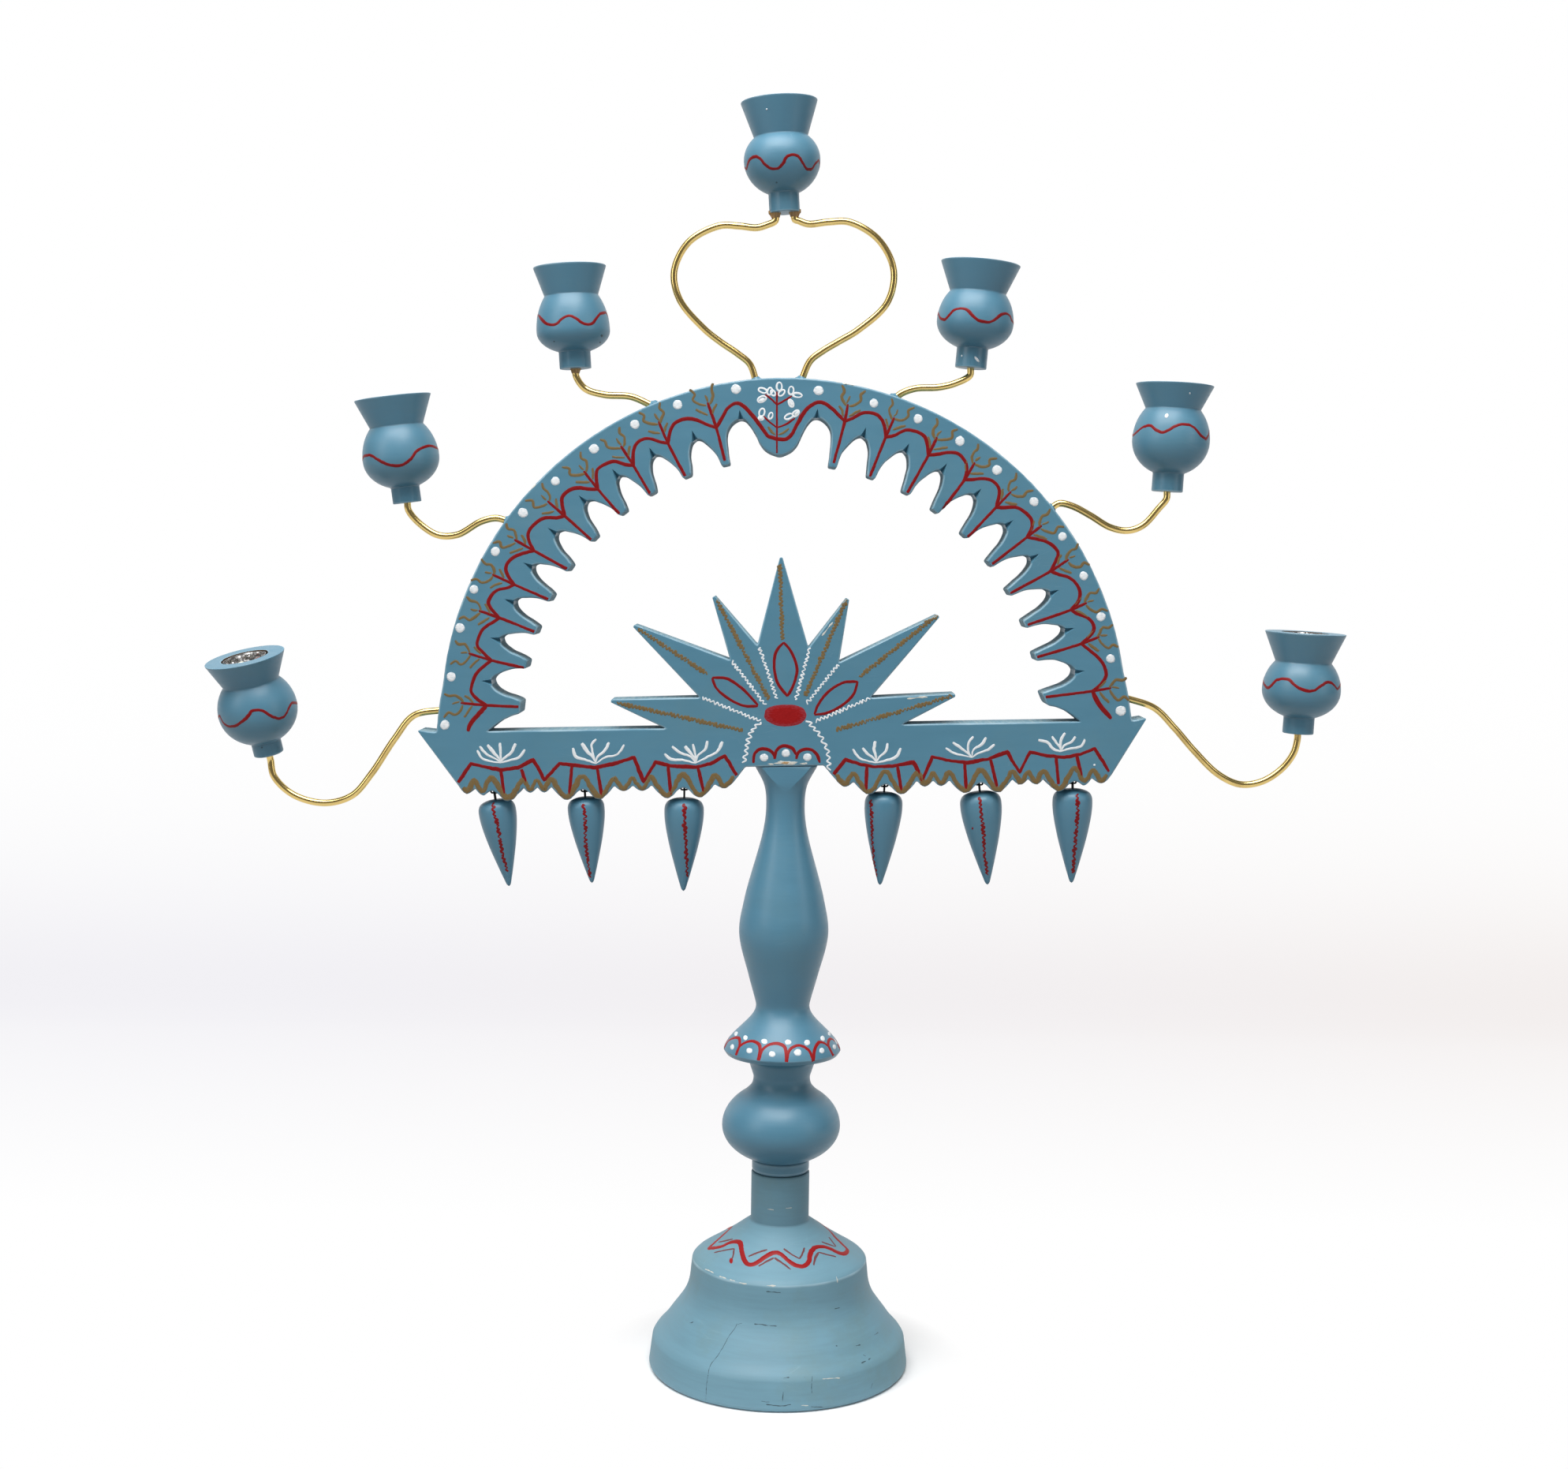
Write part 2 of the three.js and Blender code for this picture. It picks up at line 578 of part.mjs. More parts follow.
function firstSlotAngle() {
  return (TAB_HALF_ANGLE + TOOTH_ANGLES[0] - TOOTH_TIP_HALF_ANGLE) / 2 - 0.6;
}

function mirrored(points) {
  return points.map(([across, up]) => [-across, up]).reverse();
}

function asVectors(points) {
  return points.map(([x, y]) => new THREE.Vector2(x, y));
}

// A nick is a slim pyramid with its point outwards and its deep end over the slot
function nick(angle, radius) {
  const face = -BOARD_THICKNESS / 2;
  const half = NICK_WIDTH / 2;
  const corners = [
    [0, face, radius + NICK_LENGTH],
    [-half, face, radius - 0.6],
    [half, face, radius - 0.6],
    [0, face + NICK_DEPTH, radius - 0.6],
    [0, face - NICK_DEPTH, radius + 0.2 * NICK_LENGTH],
  ];
  const faces = [0, 3, 1, 0, 2, 3, 1, 3, 2, 0, 1, 4, 0, 4, 2, 1, 2, 4];
  const geometry = new THREE.BufferGeometry();
  geometry.setAttribute('position', new THREE.Float32BufferAttribute(corners.flat(), 3));
  geometry.setIndex(faces);
  return geometry.rotateY(degrees(angle)).translate(0, 0, ARCH_CENTRE_HEIGHT);
}

function nickPlaces() {
  const places = [[firstSlotAngle(), FIRST_SLOT_TOP_RADIUS]];
  for (let i = 1; i < TOOTH_ANGLES.length; i += 1) {
    places.push([(TOOTH_ANGLES[i - 1] + TOOTH_ANGLES[i]) / 2 + 0.4, SLOT_TOP_RADIUS]);
  }
  return [...places, ...places.map(([angle, radius]) => [-angle, radius])];
}

// Where a wire leaves the arch, and the straight way on into the wood
function archEntry(angle, firstBend) {
  const [across, up] = onArch(angle, ARCH_RADIUS);
  const edge = new THREE.Vector3(across, 0, up);
  const outwards = new THREE.Vector3(firstBend[0], 0, firstBend[1]).normalize();
  return { edge, outwards };
}

function arcPoints() {
  const start = 90 + THREE.MathUtils.radToDeg(Math.asin((ARCH_CENTRE_HEIGHT - BAR_TOP) / ARCH_RADIUS));
  const steps = 44;
  const points = [];
  for (let i = 0; i <= steps; i += 1) {
    points.push(onArch(start - (2 * start * i) / steps, ARCH_RADIUS));
  }
  return points;
}

// Staple legs of one hook notch, in the board's frame
function stapleLegs(across) {
  return [-1, 1].map((side) => across + (side * STAPLE_SPACING) / 2);
}

const hookAcross = [...HOOK_NOTCHES.left.map((across) => -across).reverse(), ...HOOK_NOTCHES.right];

function boardGeometry(wires) {
  const outline = new THREE.Shape(asVectors([
    ...lowerEdge(HOOK_NOTCHES.right),
    [BAR_TIP, BAR_TOP],
    ...arcPoints(),
    [-BAR_TIP, BAR_TOP],
    ...mirrored(lowerEdge(HOOK_NOTCHES.left)),
  ]));
  const inner = [...innerEdge('right'), ...mirrored(innerEdge('left')).slice(0, -1)];
  outline.holes.push(new THREE.Path(asVectors(inner)));
  const plank = new THREE.ExtrudeGeometry(outline, { depth: BOARD_THICKNESS, bevelEnabled: false });
  plank.rotateX(Math.PI / 2).translate(0, BOARD_THICKNESS / 2, 0);
  const cutters = nickPlaces().map(([angle, radius]) => nick(angle, radius));
  for (const { edge, outwards } of wires) {
    const outside = edge.clone().addScaledVector(outwards, 2 * WIRE_DIAMETER);
    const inside = edge.clone().addScaledVector(outwards, -WIRE_IN_BOARD - GLUE_GAP);
    cutters.push(bar(inside, outside, WIRE_HOLE, WIRE_SIDES));
  }
  for (const across of hookAcross.flatMap(stapleLegs)) {
    const top = new THREE.Vector3(across, 0, HOOK_NOTCH_HEIGHT + STAPLE_DEPTH + GLUE_GAP);
    const mouth = new THREE.Vector3(across, 0, HOOK_NOTCH_HEIGHT - CUT_PAST);
    cutters.push(bar(mouth, top, HOOK_HOLE_DIAMETER / 2, WIRE_SIDES));
  }
  const dowelTop = new THREE.Vector3(0, 0, DOWEL_HALF_LENGTH + DOWEL_END_GAP);
  cutters.push(bar(new THREE.Vector3(0, 0, -CUT_PAST), dowelTop, DOWEL_DIAMETER / 2 + GLUE_GAP, CUP_SIDES));
  return cutAll(plank, cutters);
}

// A candle cup about its own axis, its foot at the origin
function cupGeometry(cup, wireOffsets) {
  const collarTop = cup.collarHeight;
  const bulbCentre = collarTop + cup.bellyHeight;
  const waistHeight = bulbCentre + cup.shoulderHeight;
  const rimTop = waistHeight + cup.rimHeight;
  const boreFloor = rimTop - CANDLE_BORE_DEPTH;
  const belly = ovalQuarter(cup.bulb / 2, cup.collar / 2, bulbCentre, -cup.bellyHeight, 4).reverse();
  const shoulder = ovalQuarter(cup.bulb / 2, cup.waist / 2, bulbCentre, cup.shoulderHeight, 3).slice(1);
  const body = turned([
    [0, 0],
    [cup.collar / 2, 0],
    ...belly,
    ...shoulder,
    [cup.rim / 2, rimTop],
    [CANDLE_BORE_DIAMETER / 2, rimTop],
    [CANDLE_BORE_DIAMETER / 2, boreFloor],
    [0, boreFloor],
  ], CUP_SIDES);
  const holes = wireOffsets.map((offset) => bar(
    new THREE.Vector3(offset, 0, -CUT_PAST),
    new THREE.Vector3(offset, 0, WIRE_IN_CUP + GLUE_GAP),
    WIRE_HOLE,
    WIRE_SIDES,
  ));
  return cutAll(body, holes);
}

function cupFrame(cup, foot) {
  const frame = new THREE.Object3D();
  frame.position.copy(foot);
  frame.rotation.set(degrees(cup.leanFront), degrees(cup.leanRight), 0);
  frame.updateMatrix();
  return frame;
}

// A wire from its seat in the board, round its bends, into the foot of a cup
function wirePath(entry, bends, frame, offset) {
  const onCup = (up) => new THREE.Vector3(offset, 0, up).applyMatrix4(frame.matrix);
  const seat = entry.edge.clone().addScaledVector(entry.outwards, -WIRE_IN_BOARD);
  const middle = bends.map(([across, up]) => entry.edge.clone().add(new THREE.Vector3(across, 0, up)));
  const path = new THREE.CurvePath();
  path.add(new THREE.LineCurve3(seat, entry.edge));
  path.add(new THREE.CatmullRomCurve3([entry.edge, ...middle, onCup(-WIRE_LEAD), onCup(0)], false, 'centripetal'));
  path.add(new THREE.LineCurve3(onCup(0), onCup(WIRE_IN_CUP)));
  return path;
}

// The board with its arms and cups, in the board's own tilted frame
const upper = new THREE.Group();
upper.position.set(BOARD_SHIFT, 0, SEAT_HEIGHT);
upper.rotation.y = -degrees(BOARD_TILT);

const entries = [];
for (const [place, arm] of Object.entries(ARMS)) {
  const entry = archEntry(arm.angle, arm.bends[0]);
  entries.push(entry);
  const foot = entry.edge.clone().add(new THREE.Vector3(arm.cupFoot[0], 0, arm.cupFoot[1]));
  const frame = cupFrame(CUPS[place], foot);
  const path = wirePath(entry, arm.bends, frame, 0);
  const steps = Math.round(path.getLength() / 5.5);
  upper.add(named(`wire_${place}`, tube(path, WIRE_DIAMETER / 2, WIRE_SIDES, steps), BRASS));
  const cup = named(`cup_${place}`, cupGeometry(CUPS[place], [0]), PAINT_BLUE);
  cup.position.copy(frame.position);
  cup.rotation.copy(frame.rotation);
  upper.add(cup);
}

const topFoot = new THREE.Vector3(TOP_CUP_SHIFT, 0, ARCH_CENTRE_HEIGHT + ARCH_RADIUS + TOP_CUP_RISE);
const topFrame = cupFrame(CUPS.top, topFoot);
for (const [side, half] of Object.entries(HEART)) {
  const entry = archEntry(half.angle, half.bends[0]);
  entries.push(entry);
  const offset = ((side === 'left' ? -1 : 1) * HEART_WIRE_SPACING) / 2;
  const path = wirePath(entry, half.bends, topFrame, offset);
  const steps = Math.round(path.getLength() / 5.5);
  upper.add(named(`wire_heart_${side}`, tube(path, WIRE_DIAMETER / 2, WIRE_SIDES, steps), BRASS));
}
const topCup = named('cup_top', cupGeometry(CUPS.top, [-HEART_WIRE_SPACING / 2, HEART_WIRE_SPACING / 2]), PAINT_BLUE);
topCup.position.copy(topFrame.position);
topCup.rotation.copy(topFrame.rotation);
upper.add(topCup);

upper.add(named('arch_board', boardGeometry(entries), PAINT_BLUE));

const dowelGeometry = bar(
  new THREE.Vector3(0, 0, -DOWEL_HALF_LENGTH),
  new THREE.Vector3(0, 0, DOWEL_HALF_LENGTH),
  DOWEL_DIAMETER / 2,
  CUP_SIDES,
);
upper.add(named('stem_dowel', dowelGeometry, BARE_WOOD));

// A wire bent through corner points, with its corners rounded
function bentWire(points, bend, steps) {
  const corners = points.map(([x, z]) => new THREE.Vector3(x, 0, z));
  const path = new THREE.CurvePath();
  let from = corners[0];
  for (let i = 1; i < corners.length - 1; i += 1) {
    const here = corners[i];
    const before = here.clone().add(corners[i - 1].clone().sub(here).setLength(bend));
    const after = here.clone().add(corners[i + 1].clone().sub(here).setLength(bend));
    path.add(new THREE.LineCurve3(from, before));
    path.add(new THREE.QuadraticBezierCurve3(before, here, after));
    from = after;
  }
  path.add(new THREE.LineCurve3(from, corners[corners.length - 1]));
  return tube(path, HOOK_RADIUS, HOOK_SIDES, steps);
}

function stapleGeometry() {
  const leg = STAPLE_SPACING / 2;
  const crown = -CROWN_DROP;
  return bentWire([[-leg, STAPLE_DEPTH], [-leg, crown], [leg, crown], [leg, STAPLE_DEPTH]], STAPLE_BEND, 16);
}

// The eye's arch about the staple's crown, with both legs down into the drop
function eyeGeometry(hang) {
  const legEnd = -hang - EYE_DEPTH;
  const arch = [];
  for (let i = 0; i <= 6; i += 1) {
    const turn = Math.PI * (1 - i / 6);
    arch.push(new THREE.Vector3(0, EYE_RADIUS * Math.cos(turn), EYE_RADIUS * Math.sin(turn)));
  }
  const path = new THREE.CurvePath();
  path.add(new THREE.LineCurve3(new THREE.Vector3(0, -EYE_RADIUS, legEnd), arch[0]));
  path.add(new THREE.CatmullRomCurve3(arch));
  path.add(new THREE.LineCurve3(arch[6], new THREE.Vector3(0, EYE_RADIUS, legEnd)));
  return tube(path, HOOK_RADIUS, HOOK_SIDES, 16);
}

// A drop under the staple's crown, hanging straight down
function dropGeometry(drop) {
  const top = -drop.hang;
  const widest = drop.diameter / 2;
  const body = turned(smooth([
    [0, top - drop.length],
    [0.05 * widest, top - 0.985 * drop.length],
    [0.2 * widest, top - 0.9 * drop.length],
    [0.5 * widest, top - 0.7 * drop.length],
    [0.76 * widest, top - 0.49 * drop.length],
    [0.96 * widest, top - 0.27 * drop.length],
    [widest, top - 0.16 * drop.length],
    [0.97 * widest, top - 0.09 * drop.length],
    [0.84 * widest, top - 0.045 * drop.length],
    [0.5 * widest, top - 0.013 * drop.length],
    [0, top],
  ], 12), DROP_SIDES);
  const holes = [-1, 1].map((side) => bar(
    new THREE.Vector3(0, side * EYE_RADIUS, top - EYE_DEPTH - GLUE_GAP),
    new THREE.Vector3(0, side * EYE_RADIUS, top + CUT_PAST),
    HOOK_HOLE_DIAMETER / 2,
    WIRE_SIDES,
  ));
  return cutAll(body, holes);
}

const drops = new THREE.Group();
DROPS.forEach((drop, index) => {
  const number = index + 1;
  const notch = new THREE.Vector3(hookAcross[index], 0, HOOK_NOTCH_HEIGHT);
  const staple = named(`staple_${number}`, stapleGeometry(), BLACK_WIRE);
  staple.position.copy(notch);
  upper.add(staple);
  const crown = notch.clone().add(new THREE.Vector3(0, 0, -CROWN_DROP));
  const hanging = new THREE.Group();
  hanging.position.copy(crown.applyEuler(upper.rotation).add(upper.position));
  hanging.rotation.y = -degrees(drop.lean);
  hanging.add(named(`eye_${number}`, eyeGeometry(drop.hang), BLACK_WIRE));
  hanging.add(named(`drop_${number}`, dropGeometry(drop), PAINT_BLUE));
  drops.add(hanging);
});

const candelabra = new THREE.Group();
candelabra.add(named('base_foot', footGeometry(), PAINT_BLUE));
candelabra.add(named('spacer_ring', ringGeometry(), PAINT_BLUE));
candelabra.add(named('stem', stemGeometry(), PAINT_BLUE));
candelabra.add(upper, drops);

export default candelabra;
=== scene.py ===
import json
import math
import random

import bmesh
import bpy
from mathutils import Matrix, Vector, noise
from mathutils.bvhtree import BVHTree
from mathutils.geometry import tessellate_polygon


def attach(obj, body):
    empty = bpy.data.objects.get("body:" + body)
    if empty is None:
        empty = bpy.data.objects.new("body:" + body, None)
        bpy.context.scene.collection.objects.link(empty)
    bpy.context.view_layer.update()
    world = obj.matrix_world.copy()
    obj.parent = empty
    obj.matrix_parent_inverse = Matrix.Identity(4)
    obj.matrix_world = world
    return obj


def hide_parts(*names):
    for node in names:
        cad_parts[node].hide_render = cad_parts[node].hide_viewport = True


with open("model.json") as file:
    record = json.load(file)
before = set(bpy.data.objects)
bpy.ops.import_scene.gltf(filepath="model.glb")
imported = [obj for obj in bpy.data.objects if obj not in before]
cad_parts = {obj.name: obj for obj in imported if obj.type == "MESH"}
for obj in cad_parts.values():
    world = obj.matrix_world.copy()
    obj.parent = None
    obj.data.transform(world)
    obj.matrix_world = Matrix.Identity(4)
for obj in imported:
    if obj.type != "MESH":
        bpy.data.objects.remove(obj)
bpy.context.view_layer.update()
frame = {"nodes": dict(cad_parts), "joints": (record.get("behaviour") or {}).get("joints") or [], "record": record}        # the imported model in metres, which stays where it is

mm = 0.001               # everything below is worked out in millimetres
dice = random.Random(11)
print("frame loaded:", len(frame["nodes"]), "nodes")


# The camera stands where the photograph was taken from. Paint marks are traced in the
# photograph's pixels and thrown from here onto the wood.
photo = {
    "width": 1988,
    "height": 1862,
    "focal": 2640,               # in pixels
    "eye": Vector((-1.06, -900, 358)),
    "pitch": 4.95,               # degrees down
    "roll": 0.79,
}


def cameraAxes():
    pitch, roll = math.radians(photo["pitch"]), math.radians(photo["roll"])
    ahead = Vector((0, math.cos(pitch), -math.sin(pitch)))
    up = Vector((0, math.sin(pitch), math.cos(pitch)))
    right = Vector((1, 0, 0))
    tiltedRight = right * math.cos(roll) + up * math.sin(roll)
    tiltedUp = up * math.cos(roll) - right * math.sin(roll)
    return tiltedRight, tiltedUp, ahead


def makeCamera():
    right, up, ahead = cameraAxes()
    lens = bpy.data.cameras.new("camera")
    lens.sensor_width = 36
    lens.lens = 36 * photo["focal"] / photo["width"]
    lens.clip_start = 0.01
    seat = bpy.data.objects.new("camera", lens)
    turn = Matrix((right, up, -ahead)).transposed().to_4x4()
    seat.matrix_world = Matrix.Translation(photo["eye"] * mm) @ turn
    bpy.context.scene.collection.objects.link(seat)
    bpy.context.scene.camera = seat


makeCamera()
print("camera placed")


# Lines

def smoothLine(points, step):
    # a smooth line through the points, with a point about every step
    marks = [Vector(p) for p in points]
    marks = [2 * marks[0] - marks[1]] + marks + [2 * marks[-1] - marks[-2]]
    line = []
    for a, b, c, d in zip(marks, marks[1:], marks[2:], marks[3:]):
        ta, tb, tc = (max((q - p).length, 1e-6) ** 0.5 for p, q in ((a, b), (b, c), (c, d)))
        leave = ((b - a) / ta - (c - a) / (ta + tb) + (c - b) / tb) * tb
        arrive = ((c - b) / tb - (d - b) / (tb + tc) + (d - c) / tc) * tb
        count = max(1, math.ceil((c - b).length / step))
        for i in range(count):
            t = i / count
            line.append((2 * t**3 - 3 * t**2 + 1) * b + (t**3 - 2 * t**2 + t) * leave
                        + (3 * t**2 - 2 * t**3) * c + (t**3 - t**2) * arrive)
    line.append(marks[-2])
    return line


def zigzag(start, end, pitch, swing, tip=1):
    # a hand-drawn zigzag between two points; tip is the share of the swing at its start
    start, end = Vector(start), Vector(end)
    along = (end - start).normalized()
    aside = Vector((-along.y, along.x))
    count = max(2, round((end - start).length / pitch * 2))
    line = []
    for i in range(count + 1):
        side = 1 if i % 2 else -1
        reach = swing * dice.uniform(0.6, 1.25) * (tip + (1 - tip) * min(1, 2.5 * i / count))
        drift = along * dice.uniform(-0.2, 0.2) * pitch
        line.append(start.lerp(end, i / count) + aside * side * reach + drift)
    return smoothLine(line, 1)


def ellipse(centre, across, up, lean=0, sides=26, power=2):
    # closed outline, up leans to the right by lean degrees in the picture
    lean = math.radians(lean)
    line = []
    for i in range(sides):
        turn = 2 * math.pi * i / sides
        x = across * math.copysign(abs(math.cos(turn)) ** (2 / power), math.cos(turn))
        y = up * math.copysign(abs(math.sin(turn)) ** (2 / power), math.sin(turn))
        line.append(Vector((centre[0] + x * math.cos(lean) - y * math.sin(lean),
                            centre[1] + x * math.sin(lean) + y * math.cos(lean))))
    return line


# Meshes

def makePiece(name, points, faces, material, body, stands=(), sharp=32, marks=None, second=None):
    # points in millimetres; marks are values per point, kept as attributes
    # second is a second material and the numbers of the faces that have it
    mesh = bpy.data.meshes.new(name)
    mesh.from_pydata([Vector(p) * mm for p in points], [], faces)
    for label, values in (marks or {}).items():
        layer = mesh.attributes.new(label, "FLOAT", "POINT")
        layer.data.foreach_set("value", values)
    mesh.materials.append(material)
    if second:
        mesh.materials.append(second[0])
        for face in second[1]:
            mesh.polygons[face].material_index = 1
    mesh.validate()
    mesh.shade_smooth()
    mesh.set_sharp_from_angle(angle=math.radians(sharp))
    piece = bpy.data.objects.new(name, mesh)
    bpy.context.scene.collection.objects.link(piece)
    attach(piece, body)
    if stands:
        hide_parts(*stands)
    return piece


# Corners of turned outlines: the least turn that is softened, in degrees, the shares of the shorter
# side that the cut and the worn rim may take, and the points of the rounding
softening = {"leastTurn": 24, "cut": 0.4, "rim": 0.45, "leastRim": 0.05, "steps": 3}


def softened(outline, reach, wide=1.4):
    # rounds the corners of a [radius, height] outline and marks the outward ones as edges that wear and take
    # a painted highlight, and the inward ones as nooks that take painted shade
    corners = [Vector(p) for p in outline]
    line = [(corners[0], 0)]
    for a, b, c in zip(corners, corners[1:], corners[2:]):
        before, after = a - b, c - b
        if math.degrees(before.angle(-after, 0)) < softening["leastTurn"]:
            line.append((b, 0))
            continue
        outward = before.cross(after) < 0
        shorter = min(before.length, after.length)
        cut = min(reach, softening["cut"] * shorter)
        rim = min(wide, softening["rim"] * shorter)
        if rim > cut + softening["leastRim"]:
            line.append((b + before.normalized() * rim, 0))
        first, last = b + before.normalized() * cut, b + after.normalized() * cut
        for i in range(softening["steps"] + 1):
            t = i / softening["steps"]
            line.append((first.lerp(b, t).lerp(b.lerp(last, t), t), 1 if outward else -1))
        if rim > cut + softening["leastRim"]:
            line.append((b + after.normalized() * rim, 0))
    line.append((corners[-1], 0))
    return line


def turned(line, sides, place=None, squash=None):
    # a body of revolution from softened() points; squash changes a radius by angle and height
    place = place or Matrix()
    points, faces, wear, shadedNook = [], [], [], []
    rows = []
    for spot, edge in line:
        row = []
        count = 1 if spot.x < 1e-4 else sides          # one point on the axis
        for i in range(count):
            turn = 2 * math.pi * i / sides
            radius = spot.x if count == 1 or squash is None else squash(spot.x, turn, spot.y)
            points.append(place @ Vector((radius * math.sin(turn), -radius * math.cos(turn), spot.y)))
            wear.append(max(edge, 0))
            shadedNook.append(max(-edge, 0))
            row.append(len(points) - 1)
        rows.append(row)
    for low, high in zip(rows, rows[1:]):
        for i in range(sides):
            j = (i + 1) % sides
            if len(low) == 1 and len(high) > 1:
                faces.append((low[0], high[j], high[i]))
            elif len(high) == 1 and len(low) > 1:
                faces.append((low[i], low[j], high[0]))
            elif len(low) > 1:
                faces.append((low[i], low[j], high[j], high[i]))
    return points, faces, {"wear": wear, "shadedNook": shadedNook}


def tube(line, radius, sides=16):
    # a round wire along a line, closed at both ends
    points, faces = [], []
    tangents = []
    for i in range(len(line)):
        tangents.append((line[min(i + 1, len(line) - 1)] - line[max(i - 1, 0)]).normalized())
    across = tangents[0].orthogonal().normalized()
    for spot, along in zip(line, tangents):
        across = (across - along * across.dot(along)).normalized()
        other = along.cross(across)
        for i in range(sides):
            turn = 2 * math.pi * i / sides
            points.append(spot + radius * (math.cos(turn) * across + math.sin(turn) * other))
    for k in range(len(line) - 1):
        for i in range(sides):
            j = (i + 1) % sides
            a, b = k * sides, (k + 1) * sides
            faces.append((a + i, a + j, b + j, b + i))
    faces.append(tuple(reversed(range(sides))))
    faces.append(tuple(range(len(points) - sides, len(points))))
    return points, faces


# Brushwork: strokes and dabs of paint that lie on the wood as thin domed ribbons
brushwork = {
    "sunk": 0.05,                # how deep the rims lie in the wood
    "bend": 0.72,                # where a stroke bends down, as a share of its half width and of its height
    "fade": (1.3, 0.35),         # the ends run out over this many widths, or this share of the stroke
    "pulse": (1.5, 0.28),        # how much and how fast a stroke's width varies
    "drift": (0.4, 0.7),         # how much and how fast it strays aside
    "dabRim": (0.88, 0.75),      # where a dab bends down: share of its reach, share of its height
    "ripple": (0.7, 3.3),        # the finer waves of a dab's outline
}


def surfaceOf(piece):
    bpy.context.view_layer.update()
    points = [v.co / mm for v in piece.data.vertices]
    return BVHTree.FromPolygons(points, [tuple(p.vertices) for p in piece.data.polygons])


def throwPixel(surface, x, y):
    # where the sight line of a pixel of the photograph meets the surface
    right, up, ahead = cameraAxes()
    sight = (ahead + right * (x - photo["width"] / 2) / photo["focal"]
             - up * (y - photo["height"] / 2) / photo["focal"])
    spot, normal, *_ = surface.ray_cast(photo["eye"], sight.normalized())
    return (spot, normal) if spot else None


def throwPixels(surface, line):
    hits = [throwPixel(surface, p[0], p[1]) for p in line]
    return [hit for hit in hits if hit]


def around(surface, place, line):
    # the surface of a turned piece at (degrees from the front, height) points
    hits = []
    reach = 90                   # well outside every turned piece
    for degrees, height in line:
        turn = math.radians(degrees)
        outside = place @ Vector((reach * math.sin(turn), -reach * math.cos(turn), height))
        spot, normal, *_ = surface.ray_cast(outside, (place @ Vector((0, 0, height)) - outside).normalized())
        if spot:
            hits.append((spot, normal))
    return hits


def polar(place, spot):
    # a point as degrees from the front and height, in a turned piece's own frame
    own = place.inverted() @ spot
    return math.degrees(math.atan2(own.x, -own.y)), own.z


def evenly(hits, step):
    # the same path with points about a step apart
    path = [hits[0]]
    for spot, normal in hits[1:]:
        last, lastNormal = path[-1]
        gap = (spot - last).length
        if gap < 0.6 * step:
            continue
        count = max(1, round(gap / step))
        for i in range(1, count + 1):
            path.append((last.lerp(spot, i / count), lastNormal.lerp(normal, i / count).normalized()))
    return path


def newBrush():
    return {"points": [], "faces": [], "run": [], "side": [], "across": []}


def stroke(brush, hits, width, rise=0.06, ends=(0.7, 0.35), step=0.5, closed=False, uneven=0.15, taper=0):
    # one brush stroke; ends are the widths at its two ends as shares
    # taper is the share of the width that is lost on the way
    if len(hits) < 2:
        return
    path = evenly(hits, step)
    if len(path) < 3:
        path = evenly(hits, step / 3)
    if len(path) < 3:
        return
    lengths = [0]
    for a, b in zip(path, path[1:]):
        lengths.append(lengths[-1] + (b[0] - a[0]).length)
    whole = lengths[-1]
    seed = dice.uniform(0, 100)
    first = len(brush["points"])
    fade = min(brushwork["fade"][0] * width, brushwork["fade"][1] * whole)
    pulse, pulseRate = brushwork["pulse"]
    drift, driftRate = brushwork["drift"]
    sunk, bend = brushwork["sunk"], brushwork["bend"]
    profile = ((-1, -sunk), (-bend, bend * rise), (0, rise), (bend, bend * rise), (1, -sunk))
    for i, (spot, normal) in enumerate(path):
        before, after = path[max(i - 1, 0)][0], path[min(i + 1, len(path) - 1)][0]
        if closed and i in (0, len(path) - 1):
            before, after = path[-2][0], path[1][0]
        along = (after - before).normalized()
        aside = normal.cross(along).normalized()
        share = 1
        if not closed:
            start = ends[0] + (1 - ends[0]) * min(1, lengths[i] / fade) ** 0.5
            finish = ends[1] + (1 - ends[1]) * min(1, (whole - lengths[i]) / fade) ** 0.5
            share = min(start, finish)
        share *= 1 - taper * lengths[i] / whole
        swell = noise.noise(Vector((lengths[i] * pulseRate / width, seed, 0)))
        half = width / 2 * share * (1 + uneven * pulse * swell)
        shift = aside * width * drift * uneven * noise.noise(Vector((lengths[i] * driftRate, seed, 9)))
        for reach, lift in profile:
            brush["points"].append(spot + shift + aside * half * reach + normal * lift)
            brush["run"].append(lengths[i] + seed)
            brush["side"].append(reach)
            brush["across"].append(reach)
    last, row = len(path) - 1, len(profile)
    for k in range(last):
        for i in range(row):
            j = (i + 1) % row
            a, b = first + row * k, first + row * (k + 1)
            brush["faces"].append((a + i, b + i, b + j, a + j))
    brush["faces"].append(tuple(first + i for i in range(row)))
    brush["faces"].append(tuple(first + row * last + i for i in reversed(range(row))))


